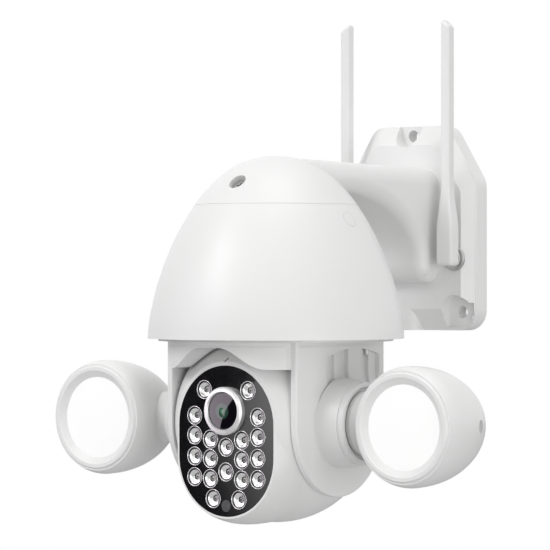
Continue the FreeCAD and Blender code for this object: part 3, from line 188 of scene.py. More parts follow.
def new_group(name: str, inputs: dict[str, float], outputs: tuple[str, ...]) -> tuple:
    """Makes an empty shader group with float sockets.

    Args:
        name: the group's name.
        inputs: input name to its first value.
        outputs: output names.

    Returns:
        The tree, its Graph, its input node and its output node.
    """
    tree = bpy.data.node_groups.new(name, "ShaderNodeTree")
    for word, value in inputs.items():
        socket = tree.interface.new_socket(word, in_out="INPUT", socket_type="NodeSocketFloat")
        socket.default_value = value
    for word in outputs:
        tree.interface.new_socket(word, in_out="OUTPUT", socket_type="NodeSocketFloat")
    graph = Graph(tree)
    return tree, graph, graph.add("NodeGroupInput"), graph.add("NodeGroupOutput")


def moulded_skin() -> bpy.types.NodeTree:
    """Makes the group for a moulded skin: fine spark-eroded grain, slow tone drift and handling marks.

    Returns:
        A tree giving Height, Tone and Rough, each from 0 to 1.
    """
    tree, graph, given, out = new_group(
        "moulded_skin", {"Grain": 2200.0, "Drift": 16.0}, ("Height", "Tone", "Rough"))
    place = graph.add("TexCoord").outputs["Object"]
    fine = graph.add("TexNoise", {"Vector": place, "Scale": given.outputs["Grain"], "Detail": 3.0,
                                  "Roughness": 0.6})
    pits = graph.add("TexVoronoi", {"Vector": place,
                                    "Scale": graph.math("MULTIPLY", given.outputs["Grain"], 0.7)})
    drift = graph.add("TexNoise", {"Vector": place, "Scale": given.outputs["Drift"], "Detail": 4.0})
    marks = graph.add("TexNoise", {"Vector": place, "Detail": 6.0, "Distortion": 1.2,
                                   "Scale": graph.math("MULTIPLY", given.outputs["Drift"], 5.0)})
    height = graph.math("ADD", graph.math("MULTIPLY", fine.outputs[0], 0.7),
                        graph.math("MULTIPLY", pits.outputs["Distance"], 0.3))
    graph.tree.links.new(height, out.inputs["Height"])
    graph.tree.links.new(graph.span(drift.outputs[0], 0.0, 1.0, 0.3, 0.7), out.inputs["Tone"])
    rough = graph.math("ADD", graph.math("MULTIPLY", marks.outputs[0], 0.6),
                       graph.math("MULTIPLY", fine.outputs[0], 0.4))
    graph.tree.links.new(graph.span(rough, 0.0, 1.0, 0.3, 0.7), out.inputs["Rough"])
    return tree


def edge_polish() -> bpy.types.NodeTree:
    """Makes the group that marks sharp edges by pointiness, broken up by noise; the finishes use it for a
    painted edge highlight in the colour and for smoother gloss.

    Returns:
        A tree giving Mask, 1 on a sharp edge.
    """
    tree, graph, given, out = new_group("edge_polish", {"Breakup": 90.0, "Sharp": 0.56}, ("Mask",))
    bend = graph.add("NewGeometry").outputs["Pointiness"]
    place = graph.add("TexCoord").outputs["Object"]
    breakup = graph.add("TexNoise", {"Vector": place, "Scale": given.outputs["Breakup"], "Detail": 5.0})
    ridge = graph.add("MapRange", {"Value": bend, "From Min": 0.5, "From Max": given.outputs["Sharp"],
                                   "To Min": 0.0, "To Max": 1.0})
    graph.tree.links.new(graph.math("MULTIPLY", ridge.outputs[0], breakup.outputs[0]), out.inputs["Mask"])
    return tree


def turning_lines() -> bpy.types.NodeTree:
    """Makes the group for tool lines round a turned or brushed face.

    Returns:
        A tree giving Height and Streak, each from 0 to 1.
    """
    tree, graph, given, out = new_group("turning_lines", {"Lines": 2400.0}, ("Height", "Streak"))
    place = graph.add("TexCoord").outputs["Object"]
    long_way = graph.add("Mapping", {"Vector": place, "Scale": (0.12, 1.0, 1.0)})
    wave = graph.add("TexWave", {"Vector": long_way.outputs[0], "Scale": given.outputs["Lines"],
                                 "Distortion": 3.0, "Detail": 2.0})
    streak = graph.add("TexNoise", {"Vector": long_way.outputs[0], "Scale": 900.0, "Detail": 4.0})
    graph.tree.links.new(wave.outputs["Fac"], out.inputs["Height"])
    graph.tree.links.new(streak.outputs[0], out.inputs["Streak"])
    return tree


@dataclass(frozen=True)
class Groups:
    """The shared node groups."""

    skin: bpy.types.NodeTree
    edges: bpy.types.NodeTree
    lines: bpy.types.NodeTree


@dataclass(frozen=True)
class Finish:
    """A surface finish. Each kind adds its own nodes round one Principled shader."""

    name: str
    colour: tuple[float, float, float]
    roughness: float

    def start(self) -> tuple[bpy.types.Material, Graph, bpy.types.Node]:
        """Makes the material with its output and Principled shader.

        Returns:
            The material, its Graph and its Principled node.
        """
        material = bpy.data.materials.new(self.name)
        material.use_nodes = True
        graph = Graph(material.node_tree)
        out = graph.add("OutputMaterial")
        shader = graph.add("BsdfPrincipled", {"Base Color": (*self.colour, 1.0),
                                              "Roughness": self.roughness})
        graph.tree.links.new(shader.outputs[0], out.inputs["Surface"])
        return material, graph, shader

    def darker(self, share: float) -> tuple[float, float, float]:
        """The colour with a share of its light taken away."""
        return tuple(channel * (1.0 - share) for channel in self.colour)


@dataclass(frozen=True)
class MouldedPlastic(Finish):
    """Injection-moulded plastic with a fine eroded grain."""

    grain: float = 2200.0
    depth: float = 0.00004
    spread: float = 0.03
    coat: float = 0.0
    through: float = 0.0

    def material(self, groups: Groups) -> bpy.types.Material:
        """Builds the finish: tone drift in the colour, grain in the bump, sharp edges smoother in gloss
        and a little lighter in colour, a painted highlight.
        """
        material, graph, shader = self.start()
        skin = graph.place(groups.skin, {"Grain": self.grain, "Drift": 16.0})
        edges = graph.place(groups.edges, {"Breakup": 90.0, "Sharp": 0.58})
        tone = graph.blend(skin.outputs["Tone"], self.colour, self.darker(self.spread))
        # sharp edges a little lighter in colour: a painted highlight
        painted_edge_highlight = tuple(min(1.0, channel * 1.03 + 0.005) for channel in self.colour)
        colour = graph.blend(graph.math("MULTIPLY", edges.outputs["Mask"], 0.5), tone, painted_edge_highlight)
        graph.tree.links.new(colour, shader.inputs["Base Color"])
        rough = graph.span(skin.outputs["Rough"], self.roughness - 0.05, self.roughness + 0.06)
        rough = graph.math("SUBTRACT", rough, graph.math("MULTIPLY", edges.outputs["Mask"], 0.08))
        graph.tree.links.new(rough, shader.inputs["Roughness"])
        bump = graph.add("Bump", {"Strength": 0.35, "Distance": self.depth,
                                  "Height": skin.outputs["Height"]})
        graph.tree.links.new(bump.outputs[0], shader.inputs["Normal"])
        shader.inputs["Coat Weight"].default_value = self.coat
        shader.inputs["Coat Roughness"].default_value = 0.12
        shader.inputs["Subsurface Weight"].default_value = self.through
        shader.inputs["Subsurface Radius"].default_value = (0.004, 0.004, 0.0036)
        return material


@dataclass(frozen=True)
class GlossFace(Finish):
    """Polished dark acrylic: a clear wavy coat, faint dust and fine wipe marks."""

    coat: float = 1.0

    def material(self, groups: Groups) -> bpy.types.Material:
        """Builds the finish: dust specks lift the colour, wipe marks vary the gloss."""
        material, graph, shader = self.start()
        place = graph.add("TexCoord").outputs["Object"]
        specks = graph.add("TexVoronoi", {"Vector": place, "Scale": 900.0, "Randomness": 1.0})
        dust = graph.span(specks.outputs["Distance"], 0.35, 0.0, 0.0, 0.07)
        colour = graph.blend(dust, self.colour, tuple(0.03 + channel for channel in self.colour))
        graph.tree.links.new(colour, shader.inputs["Base Color"])
        skin = graph.place(groups.skin, {"Grain": 300.0, "Drift": 22.0})
        graph.tree.links.new(graph.span(skin.outputs["Rough"], self.roughness, self.roughness + 0.04),
                             shader.inputs["Roughness"])
        wave = graph.add("TexNoise", {"Vector": place, "Scale": 45.0, "Detail": 1.0})
        bump = graph.add("Bump", {"Strength": 0.04, "Distance": 0.0004, "Height": wave.outputs[0]})
        graph.tree.links.new(bump.outputs[0], shader.inputs["Normal"])
        shader.inputs["Coat Weight"].default_value = self.coat
        shader.inputs["Coat Roughness"].default_value = 0.015
        return material


@dataclass(frozen=True)
class TurnedMetal(Finish):
    """Turned, plated or brushed metal with tool lines."""

    lines: float = 2400.0
    strength: float = 0.12

    def material(self, groups: Groups) -> bpy.types.Material:
        """Builds the finish: streaks in colour and gloss, tool lines in the bump, a painted highlight on
        sharp edges.
        """
        material, graph, shader = self.start()
        tool = graph.place(groups.lines, {"Lines": self.lines})
        edges = graph.place(groups.edges, {"Breakup": 300.0, "Sharp": 0.56})
        tone = graph.blend(tool.outputs["Streak"], self.darker(0.16), self.colour)
        # sharp edges lighter in colour: a painted highlight
        painted_edge_highlight = tuple(min(1.0, channel * 1.12) for channel in self.colour)
        graph.tree.links.new(graph.blend(edges.outputs["Mask"], tone, painted_edge_highlight), shader.inputs["Base Color"])
        graph.tree.links.new(graph.span(tool.outputs["Streak"], self.roughness - 0.04,
                                        self.roughness + 0.08), shader.inputs["Roughness"])
        bump = graph.add("Bump", {"Strength": self.strength, "Distance": 0.00003,
                                  "Height": tool.outputs["Height"]})
        graph.tree.links.new(bump.outputs[0], shader.inputs["Normal"])
        shader.inputs["Metallic"].default_value = 1.0
        return material


@dataclass(frozen=True)
class MirrorCup(Finish):
    """Vacuum-plated reflector: bright metal with a faint orange peel, dark in its groove."""

    groove: tuple[float, float, float] = (0.07, 0.07, 0.072)

    def material(self, groups: Groups) -> bpy.types.Material:
        """Builds the finish: groove by the share attribute, fog in the gloss, peel in the bump."""
        material, graph, shader = self.start()
        skin = graph.place(groups.skin, {"Grain": 1400.0, "Drift": 120.0})
        share = graph.add("Attribute", attribute_name="share").outputs["Fac"]
        plated = graph.blend(skin.outputs["Tone"], self.colour, self.darker(0.06))
        graph.tree.links.new(graph.blend(share, self.groove, plated), shader.inputs["Base Color"])
        graph.tree.links.new(graph.span(skin.outputs["Rough"], self.roughness, self.roughness + 0.06),
                             shader.inputs["Roughness"])
        bump = graph.add("Bump", {"Strength": 0.1, "Distance": 0.00002, "Height": skin.outputs["Height"]})
        graph.tree.links.new(bump.outputs[0], shader.inputs["Normal"])
        shader.inputs["Metallic"].default_value = 1.0
        return material


@dataclass(frozen=True)
class LightBead(Finish):
    """Light emitter under clear resin: a dark die in the middle, a pale ring, clear edge."""

    die: tuple[float, float, float] = (0.03, 0.03, 0.03)
    die_share: float = 0.45

    def material(self, groups: Groups) -> bpy.types.Material:
        """Builds the finish: the colour runs from die to ring by the bead's share attribute."""
        material, graph, shader = self.start()
        share = graph.add("Attribute", attribute_name="share").outputs["Fac"]
        ring = graph.span(share, 0.0, 1.0, self.die_share - 0.06, self.die_share + 0.06)
        skin = graph.place(groups.skin, {"Grain": 3000.0, "Drift": 200.0})
        body = graph.blend(skin.outputs["Tone"], self.colour, self.darker(0.2))
        graph.tree.links.new(graph.blend(ring, self.die, body), shader.inputs["Base Color"])
        graph.tree.links.new(graph.span(skin.outputs["Rough"], self.roughness, self.roughness + 0.06),
                             shader.inputs["Roughness"])
        shader.inputs["Coat Weight"].default_value = 1.0
        shader.inputs["Coat Roughness"].default_value = 0.03
        return material


@dataclass(frozen=True)
class CoatedGlass(Finish):
    """Lens glass: dark body, a colour in the middle that shifts towards the rim; on the inner element it
    is the coating's tint, on the front lens a painted green glint with painted rings.
    """

    rim: tuple[float, float, float] = (0.02, 0.02, 0.03)
    rings: tuple[tuple[float, float], ...] = ((0.15, 0.8),)

    def material(self, groups: Groups) -> bpy.types.Material:
        """Builds the finish: the middle colour (coating tint on the inner element, painted glint on the
        front lens) falls off in rings by the share attribute.

        Each ring is a start and an end share. Over the last ring all of the colour fades to the
        rim's, and over an earlier one three quarters of it.
        """
        material, graph, shader = self.start()
        share = graph.add("Attribute", attribute_name="share").outputs["Fac"]
        partly = tuple(0.25 * a + 0.75 * b for a, b in zip(self.colour, self.rim))
        colour = self.colour
        for start, end in self.rings[:-1]:
            colour = graph.blend(graph.span(share, 0.0, 0.75, start, end), colour, partly)
        start, end = self.rings[-1]
        colour = graph.blend(graph.span(share, 0.0, 1.0, start, end), colour, self.rim)
        graph.tree.links.new(colour, shader.inputs["Base Color"])
        skin = graph.place(groups.skin, {"Grain": 500.0, "Drift": 90.0})
        graph.tree.links.new(graph.span(skin.outputs["Rough"], self.roughness, self.roughness + 0.03),
                             shader.inputs["Roughness"])
        shader.inputs["Specular IOR Level"].default_value = 0.9
        shader.inputs["Coat Weight"].default_value = 1.0
        shader.inputs["Coat Roughness"].default_value = 0.01
        return material


@dataclass(frozen=True)
class ClearGlass(Finish):
    """Clear optical glass with faint wipe marks."""

    def material(self, groups: Groups) -> bpy.types.Material:
        """Builds the finish: full transmission, marks only in the gloss."""
        material, graph, shader = self.start()
        skin = graph.place(groups.skin, {"Grain": 400.0, "Drift": 70.0})
        graph.tree.links.new(graph.span(skin.outputs["Rough"], self.roughness, self.roughness + 0.02),
                             shader.inputs["Roughness"])
        shader.inputs["Transmission Weight"].default_value = 1.0
        shader.inputs["IOR"].default_value = 1.45
        return material


@dataclass(frozen=True)
class OpalGlow(Finish):
    """Lit opal diffuser: even white glow and fine frosting."""

    glow: float = 1.0

    def material(self, groups: Groups) -> bpy.types.Material:
        """Builds the finish: frosting in colour, glow and bump."""
        material, graph, shader = self.start()
        skin = graph.place(groups.skin, {"Grain": 1500.0, "Drift": 30.0})
        tone = graph.blend(skin.outputs["Tone"], self.colour, self.darker(0.02))
        graph.tree.links.new(tone, shader.inputs["Base Color"])
        graph.tree.links.new(tone, shader.inputs["Emission Color"])
        shader.inputs["Emission Strength"].default_value = self.glow
        bump = graph.add("Bump", {"Strength": 0.2, "Distance": 0.00005, "Height": skin.outputs["Height"]})
        graph.tree.links.new(bump.outputs[0], shader.inputs["Normal"])
        return material


@dataclass(frozen=True)
class CircuitBoard(Finish):
    """Printed board: solder mask with raised tracks and tinned pads."""

    track: tuple[float, float, float] = (0.09, 0.4, 0.16)

    def material(self, groups: Groups) -> bpy.types.Material:
        """Builds the finish: tracks from a brick pattern, pads from a cell pattern."""
        material, graph, shader = self.start()
        place = graph.add("TexCoord").outputs["Object"]
        tracks = graph.add("TexBrick", {"Vector": place, "Scale": 300.0, "Mortar Size": 0.03,
                                        "Color1": (0.0, 0.0, 0.0, 1.0), "Color2": (0.0, 0.0, 0.0, 1.0),
                                        "Mortar": (1.0, 1.0, 1.0, 1.0)})
        pads = graph.add("TexVoronoi", {"Vector": place, "Scale": 320.0, "Randomness": 0.2})
        pad = graph.span(pads.outputs["Distance"], 1.0, 0.0, 0.12, 0.16)
        mask = graph.blend(tracks.outputs["Color"], self.colour, self.track)
        graph.tree.links.new(graph.blend(pad, mask, (0.75, 0.75, 0.73)), shader.inputs["Base Color"])
        graph.tree.links.new(pad, shader.inputs["Metallic"])
        bump = graph.add("Bump", {"Strength": 0.4, "Distance": 0.00005, "Height": tracks.outputs["Color"]})
        graph.tree.links.new(bump.outputs[0], shader.inputs["Normal"])
        skin = graph.place(groups.skin, {"Grain": 900.0, "Drift": 40.0})
        graph.tree.links.new(graph.span(skin.outputs["Rough"], self.roughness, self.roughness + 0.1),
                             shader.inputs["Roughness"])
        return material


HOUSING = MouldedPlastic("housing_white", (0.80, 0.80, 0.795), 0.42, spread=0.02, coat=0.08)
LAMP_BODY = MouldedPlastic("lamp_white", (0.80, 0.80, 0.795), 0.38, spread=0.02, coat=0.1)
INNER = MouldedPlastic("inner_plastic", (0.62, 0.62, 0.6), 0.5)
SEAL = MouldedPlastic("rubber_seal", (0.03, 0.03, 0.03), 0.75, grain=900.0, spread=0.3)
BARREL = MouldedPlastic("barrel_black", (0.012, 0.012, 0.013), 0.6, grain=1200.0)
CHIP = MouldedPlastic("component_black", (0.02, 0.02, 0.021), 0.5, grain=1500.0)
FACE = GlossFace("face_black", (0.006, 0.006, 0.007), 0.06)
SENSOR = GlossFace("sensor_grey", (0.07, 0.07, 0.075), 0.25)
RING = TurnedMetal("ring_silver", (0.97, 0.97, 0.965), 0.5, lines=3000.0, strength=0.05)
STEEL = TurnedMetal("screw_steel", (0.55, 0.55, 0.54), 0.35)
MOTOR = TurnedMetal("motor_steel", (0.58, 0.58, 0.57), 0.3)
BRASS = TurnedMetal("bearing_brass", (0.72, 0.55, 0.27), 0.3)
PLATE = TurnedMetal("board_aluminium", (0.7, 0.7, 0.7), 0.4)
CUP = MirrorCup("cup_chrome", (0.95, 0.95, 0.95), 0.2)
WHITE_BEAD = LightBead("bead_white", (0.5, 0.5, 0.48), 0.12, die=(0.08, 0.08, 0.07))
DARK_BEAD = LightBead("bead_infrared", (0.34, 0.34, 0.35), 0.12, die=(0.03, 0.03, 0.03))
COATED = CoatedGlass("coated_element", (0.012, 0.05, 0.028), 0.05, rim=(0.02, 0.012, 0.03))
# front lens: a painted green glint in the middle with painted rings round it, black at the rim
FRONT_LENS_PAINTED_GLINT = CoatedGlass("front_lens", (0.10, 0.24, 0.16), 0.02, rim=(0.006, 0.005, 0.008),
                         rings=((0.10, 0.14), (0.20, 0.32), (0.40, 0.46)))
GLASS = ClearGlass("front_glass", (0.86, 0.84, 0.9), 0.01)
OPAL = OpalGlow("lamp_opal", (0.3, 0.3, 0.299), 0.5, glow=2.3)
BOARD = CircuitBoard("board_green", (0.02, 0.13, 0.05), 0.35)

SLOT_FINISH = {
    "housing_white": HOUSING, "inner_plastic": INNER, "rubber_seal": SEAL, "face_black": FACE,
    "barrel_black": BARREL, "lens_glass": GLASS, "ring_silver": RING, "cup_chrome": CUP,
    "emitter_white": WHITE_BEAD, "emitter_infrared": DARK_BEAD, "sensor_grey": SENSOR,
    "board_green": BOARD, "component_black": CHIP, "screw_steel": STEEL, "motor_steel": MOTOR,
    "bearing_brass": BRASS, "board_aluminium": PLATE, "lamp_opal": OPAL,
}


class Paintbox:
    """Hands out one material for each finish."""

    def __init__(self) -> None:
        """Builds the shared groups."""
        self.groups = Groups(moulded_skin(), edge_polish(), turning_lines())
        self.made: dict[str, bpy.types.Material] = {}

    def get(self, finish: Finish) -> bpy.types.Material:
        """The finish's material, built the first time it is asked for.

        Args:
            finish: the finish wanted.

        Returns:
            Its material.
        """
        if finish.name not in self.made:
            self.made[finish.name] = finish.material(self.groups)
        return self.made[finish.name]

    def dress(self, item: bpy.types.Object, finish: Finish) -> None:
        """Gives a piece one finish all over."""
        item.data.materials.clear()
        item.data.materials.append(self.get(finish))


def grid_quads(rows: int, columns: int, wrap: bool) -> np.ndarray:
    """The faces of a grid of points.

    Args:
        rows: points along the first direction.
        columns: points along the second.
        wrap: whether the last column joins the first.

    Returns:
        An array of four point numbers for each face.
    """
    row = np.arange(rows - 1)[:, None]
    column = np.arange(columns if wrap else columns - 1)[None, :]
    after = (column + 1) % columns
    near, far = row * columns, (row + 1) * columns
    return np.stack([near + column, near + after, far + after, far + column], axis=-1).reshape(-1, 4)


def surface(name: str, points: np.ndarray, wrap: bool = True, share: np.ndarray | None = None,
            copies: np.ndarray | None = None) -> bpy.types.Object:
    """Puts a grid of points into a new mesh object, with its doubles merged and faces outwards.

    Args:
        name: the piece's name.
        points: rows x columns x 3 array, in metres.
        wrap: whether each row closes on itself.
        share: a value for each point, kept as the attribute share.
        copies: places, n x 3, at which the same grid is repeated.

    Returns:
        The object, at the origin.
    """
    rows, columns = points.shape[:2]
    flat = points.reshape(-1, 3)
    quads = grid_quads(rows, columns, wrap)
    places = np.zeros((1, 3)) if copies is None else copies
    count = len(places)
    vertices = (places[:, None, :] + flat[None, :, :]).reshape(-1, 3)
    steps = (np.arange(count) * len(flat))[:, None, None]
    faces = (quads[None, :, :] + steps).reshape(-1, 4)
    mesh = bpy.data.meshes.new(name)
    mesh.from_pydata(vertices.tolist(), [], faces.tolist())
    if share is not None:
        layer = mesh.attributes.new("share", "FLOAT", "POINT")
        layer.data.foreach_set("value", np.tile(share.reshape(-1), count).astype(np.float32))
    work = bmesh.new()
    work.from_mesh(mesh)
    bmesh.ops.remove_doubles(work, verts=work.verts, dist=1e-6)
    bmesh.ops.dissolve_degenerate(work, edges=work.edges, dist=1e-7)
    bmesh.ops.recalc_face_normals(work, faces=work.faces)
    work.to_mesh(mesh)
    work.free()
    mesh.shade_smooth()
    item = bpy.data.objects.new(name, mesh)
    bpy.context.collection.objects.link(item)
    return item


def turned(profile: np.ndarray, segments: int) -> np.ndarray:
    """A profile of radius and depth turned round the Y axis.

    Each row is one profile point; the columns go round: x = r cos a, y = depth, z = r sin a.

    Args:
        profile: n x 2 array of radius and depth.
        segments: columns round the axis.

    Returns:
        The grid of points.
    """
    angle = np.linspace(0.0, 2.0 * np.pi, segments, endpoint=False)
    radius, depth = profile[:, 0:1], profile[:, 1:2]
    return np.stack([radius * np.cos(angle), np.broadcast_to(depth, (len(profile), segments)),
                     radius * np.sin(angle)], axis=-1)


@dataclass
class Antenna:
    """One swinging antenna: a square-footed blade that narrows to a slim mast."""

    side: Side
    across: float = 33.0 * MM
    pivot: float = -16.6 * MM
    depth: float = -23.5 * MM
    tail: float = 3.8 * MM
    length: float = 127.7 * MM
    base: tuple[float, float] = (10.0 * MM, 8.0 * MM)
    tip: float = 5.6 * MM
    rows: int = 120
    columns: int = 64

    def blade(self, paint: Paintbox) -> bpy.types.Object:
        """Makes the blade.

        Along its length the half widths run from foot to mast by a smooth step between 12 and
        42 mm above the pivot. Across, the section is a superellipse: |x|^n + |y|^n = 1 with
        n = 7 at the foot falling to 4.5 at the mast. Both ends close with a quarter-round, and
        the top leans with a slant that is highest on the inner side.

        Args:
            paint: where its finish comes from.

        Returns:
            The piece.
        """
        rise = np.linspace(-self.tail, self.length, self.rows)
        step = np.clip((rise - 12.0 * MM) / (30.0 * MM), 0.0, 1.0)
        ease = 1.0 - step ** 3 * (step * (6.0 * step - 15.0) + 10.0)
        half_x = (self.tip + (self.base[0] - self.tip) * ease) / 2.0
        half_y = (self.tip + (self.base[1] - self.tip) * ease) / 2.0
        power = 2.0 / (4.5 + 2.5 * ease)
        low = np.clip((rise + self.tail) / (1.2 * MM), 0.0, 1.0)
        high = np.clip((self.length - rise) / (1.2 * MM), 0.0, 1.0)
        inset = 1.0 - 0.22 * (1.0 - np.sqrt(1.0 - (1.0 - low) ** 2))
        inset *= 1.0 - 0.22 * (1.0 - np.sqrt(1.0 - (1.0 - high) ** 2))
        angle = np.linspace(0.0, 2.0 * np.pi, self.columns, endpoint=False)
        c, s = np.cos(angle)[None, :], np.sin(angle)[None, :]
        p = power[:, None]
        x = (half_x * inset)[:, None] * np.sign(c) * np.abs(c) ** p
        y = (half_y * inset)[:, None] * np.sign(s) * np.abs(s) ** p
        lean = np.clip((rise[:, None] - (self.length - 8.0 * MM)) / (8.0 * MM), 0.0, 1.0)
        z = rise[:, None] - lean * 0.75 * (x + self.tip / 2.0)
        body = np.stack([x, y, np.broadcast_to(z, x.shape)], axis=-1)
        foot = np.concatenate([body[0:1].mean(axis=1, keepdims=True).repeat(self.columns, axis=1), body])
        whole = np.concatenate([foot, body[-1:].mean(axis=1, keepdims=True).repeat(self.columns, axis=1)])
        whole[..., 0] = self.side.value * (self.across + whole[..., 0])
        whole[..., 1] += self.depth
        whole[..., 2] += self.pivot
        item = surface(f"antenna_blade_{self.side.word}", whole)
        paint.dress(item, HOUSING)
        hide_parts(f"antenna_paddle_{self.side.word}")
        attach(item, f"antenna_{self.side.word}")
        return item

    def build(self, paint: Paintbox) -> list[bpy.types.Object]:
        """Makes the antenna's pieces."""
        return [self.blade(paint)]


@dataclass
class EyeFace:
    """What shows in the eye's dark face: reflector cups, emitters and the lens."""

    reach: float = 131.0 * MM
    drop: float = 100.0 * MM
    face: float = -41.6 * MM
    centre: float = -8.95 * MM
    cup_radius: float = 4.8 * MM
    cup_depth: float = 5.0 * MM
    lip: float = 0.18 * MM
    mouth: float = 3.5 * MM
    bowl: float = 1.9 * MM
    groove_depth: float = 0.4 * MM
    bead_front: float = 2.9 * MM
    bead_radius: float = 1.4 * MM
    lens_place: tuple = ((0.0, 15.2),)
    lens_proud: float = 3.6 * MM
    window: float = 9.4 * MM
    cup_sides: int = 40
    bead_sides: int = 24
    round_lights: tuple = ((-13.9, 25.7), (13.9, 25.7), (20.1, 12.5), (-20.1, 2.5), (-20.1, -18.6),
                           (10.0, 0.7), (20.1, -8.1), (0.0, -3.0), (-10.0, -19.2), (10.0, -19.2),
                           (-8.2, -29.2))
    slot_lights: tuple = ((-20.1, 12.5), (-20.1, -8.1), (-10.0, 0.7), (-10.0, -9.1), (10.0, -9.1),
                          (0.0, -15.5), (20.1, 2.5), (20.1, -18.6), (8.2, -29.2))

    def spots(self, lights: tuple) -> np.ndarray:
        """Places of the lights on the face, in metres.

        Args:
            lights: sideways and upward offsets from the face's middle, in millimetres.

        Returns:
            One point of the face for each light.
        """
        flat = np.array(lights) * MM
        depth = np.full(len(flat), self.face - self.reach)
        return np.stack([flat[:, 0], depth, flat[:, 1] + self.centre - self.drop], axis=-1)

    def cups(self, paint: Paintbox) -> bpy.types.Object:
        """Makes the reflector cups.

        The profile is a rounded lip, a flat groove, then a bowl whose depth falls with the square
        of the radius, d = bowl (1 - (r / mouth)^2), down to a collar round the emitter.

        Args:
            paint: where the finish comes from.

        Returns:
            The piece.
        """
        turn = np.linspace(0.0, np.pi, 7)
        lip_r = self.cup_radius - self.lip * (1.0 - np.cos(turn))
        lip_d = self.lip * (0.5 - np.sin(turn))
        groove = np.array([[self.cup_radius - 2.2 * self.lip, 0.3 * MM],
                           [self.mouth + self.lip, self.groove_depth]])
        r = np.linspace(self.mouth, self.bead_radius + 0.25 * MM, 18)
        bowl_d = self.groove_depth + self.bowl * (1.0 - (r / self.mouth) ** 2.0)
        well = self.bead_radius + 0.2 * MM
        collar = np.array([[well, self.bowl + 0.5 * MM], [well, self.cup_depth - 0.1 * MM]])
        back = np.array([[self.cup_radius, self.cup_depth - 0.1 * MM]])
        profile = np.concatenate([back, np.stack([lip_r, lip_d], axis=-1), groove,
                                  np.stack([r, bowl_d], axis=-1), collar, back])
        plated = np.concatenate([[0.0], np.ones(len(lip_r)), np.zeros(len(groove)), np.ones(len(r)),
                                 np.zeros(len(collar) + 1)])
        spots = self.spots(self.round_lights + self.slot_lights)
        shares = np.repeat(plated[:, None], self.cup_sides, axis=1)
        item = surface("reflector_cups", turned(profile, self.cup_sides), share=shares, copies=spots)
        paint.dress(item, CUP)
        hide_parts("led_cups")
        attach(item, "eye")
        return item

    def beads(self, name: str, node: str, lights: tuple, finish: Finish, stand: float,
              paint: Paintbox) -> bpy.types.Object:
        """Makes one kind of emitter.

        The profile is a quarter ellipse over a short straight side, closed at the back.

        Args:
            name: the piece's name.
            node: the CAD node it stands for.
            lights: the lights that have this kind.
            finish: its finish.
            stand: how far the dome stands up.
            paint: where the finish comes from.

        Returns:
            The piece.
        """
        turn = np.linspace(0.0, np.pi / 2.0, 14)
        r = self.bead_radius * np.sin(turn)
        d = self.bead_front - stand * np.cos(turn)
        tail = np.array([[self.bead_radius, 5.1 * MM], [0.0, 5.1 * MM]])
        profile = np.concatenate([np.stack([r, d], axis=-1), tail])
        grid = turned(profile, self.bead_sides)
        share = np.concatenate([r / self.bead_radius, [1.0, 0.0]])
        share = np.repeat(share[:, None], self.bead_sides, axis=1)
        item = surface(name, grid, share=share, copies=self.spots(lights))
        paint.dress(item, finish)
        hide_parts(node)
        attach(item, "eye")
        return item

    def lens_front(self, paint: Paintbox) -> bpy.types.Object:
        """Makes the lens's front glass.

        Both faces are parts of a sphere, bulge = h (1 - (r / R)^2): a meniscus of even thickness,
        closed at the rim and at both poles.

        Args:
            paint: where the finish comes from.

        Returns:
            The piece.
        """
        r = np.linspace(0.0, self.window - 0.05 * MM, 24)
        share = r / self.window
        front = 1.15 * MM - 1.0 * MM * (1.0 - share ** 2)
        back = front + 1.0 * MM
        profile = np.concatenate([np.stack([r, front], axis=-1), np.stack([r, back], axis=-1)[::-1]])
        spot = self.spots(self.lens_place) - np.array([[0.0, self.lens_proud, 0.0]])
        grid = turned(profile, 96)
        shares = np.repeat(np.concatenate([share, share[::-1]])[:, None], 96, axis=1)
        item = surface("lens_front", grid, share=shares, copies=spot)
        # the front lens's colour is a painted green glint with rings, not a coating
        paint.dress(item, FRONT_LENS_PAINTED_GLINT)
        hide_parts("lens_glass")
        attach(item, "eye")
        return item

    def lens_core(self, paint: Paintbox) -> bpy.types.Object:
        """Makes the coated inner element: a shallow dome with d = h (r / R)^2, closed behind.

        Args:
            paint: where the finish comes from.

        Returns:
            The piece.
        """
        radius = 5.9 * MM
        r = np.linspace(0.0, radius, 20)
        share = r / radius
        dome = 3.6 * MM + 1.2 * MM * share ** 2
        profile = np.concatenate([np.stack([r, dome], axis=-1), [[radius, 5.4 * MM], [0.0, 5.4 * MM]]])
        shares = np.repeat(np.concatenate([share, [1.0, 0.0]])[:, None], 64, axis=1)
        item = surface("lens_core", turned(profile, 64), share=shares, copies=self.spots(self.lens_place))
        paint.dress(item, COATED)
        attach(item, "eye")
        return item

    def build(self, paint: Paintbox) -> list[bpy.types.Object]:
        """Makes every piece of the face."""
        return [
            self.cups(paint),
            self.beads("emitter_domes_white", "emitters_white", self.round_lights,
                       WHITE_BEAD, 1.0 * MM, paint),
            self.beads("emitter_domes_infrared", "emitters_infrared",
                       self.slot_lights, DARK_BEAD, 1.2 * MM, paint),
            self.lens_front(paint),
            self.lens_core(paint),
        ]


@dataclass
class CadDressing:
    """Gives each carried-over CAD node the finish of its material slot."""

    frame: dict

    def build(self, paint: Paintbox) -> list[bpy.types.Object]:
        """Dresses the nodes."""
        special = {"lamp_shell_left": LAMP_BODY, "lamp_shell_right": LAMP_BODY}
        dressed = []
        for part in self.frame["record"]["subparts"]:
            item = self.frame["nodes"][part["node"]]
            paint.dress(item, special.get(part["node"], SLOT_FINISH[part["material_slot"]]))
            dressed.append(item)
        return dressed


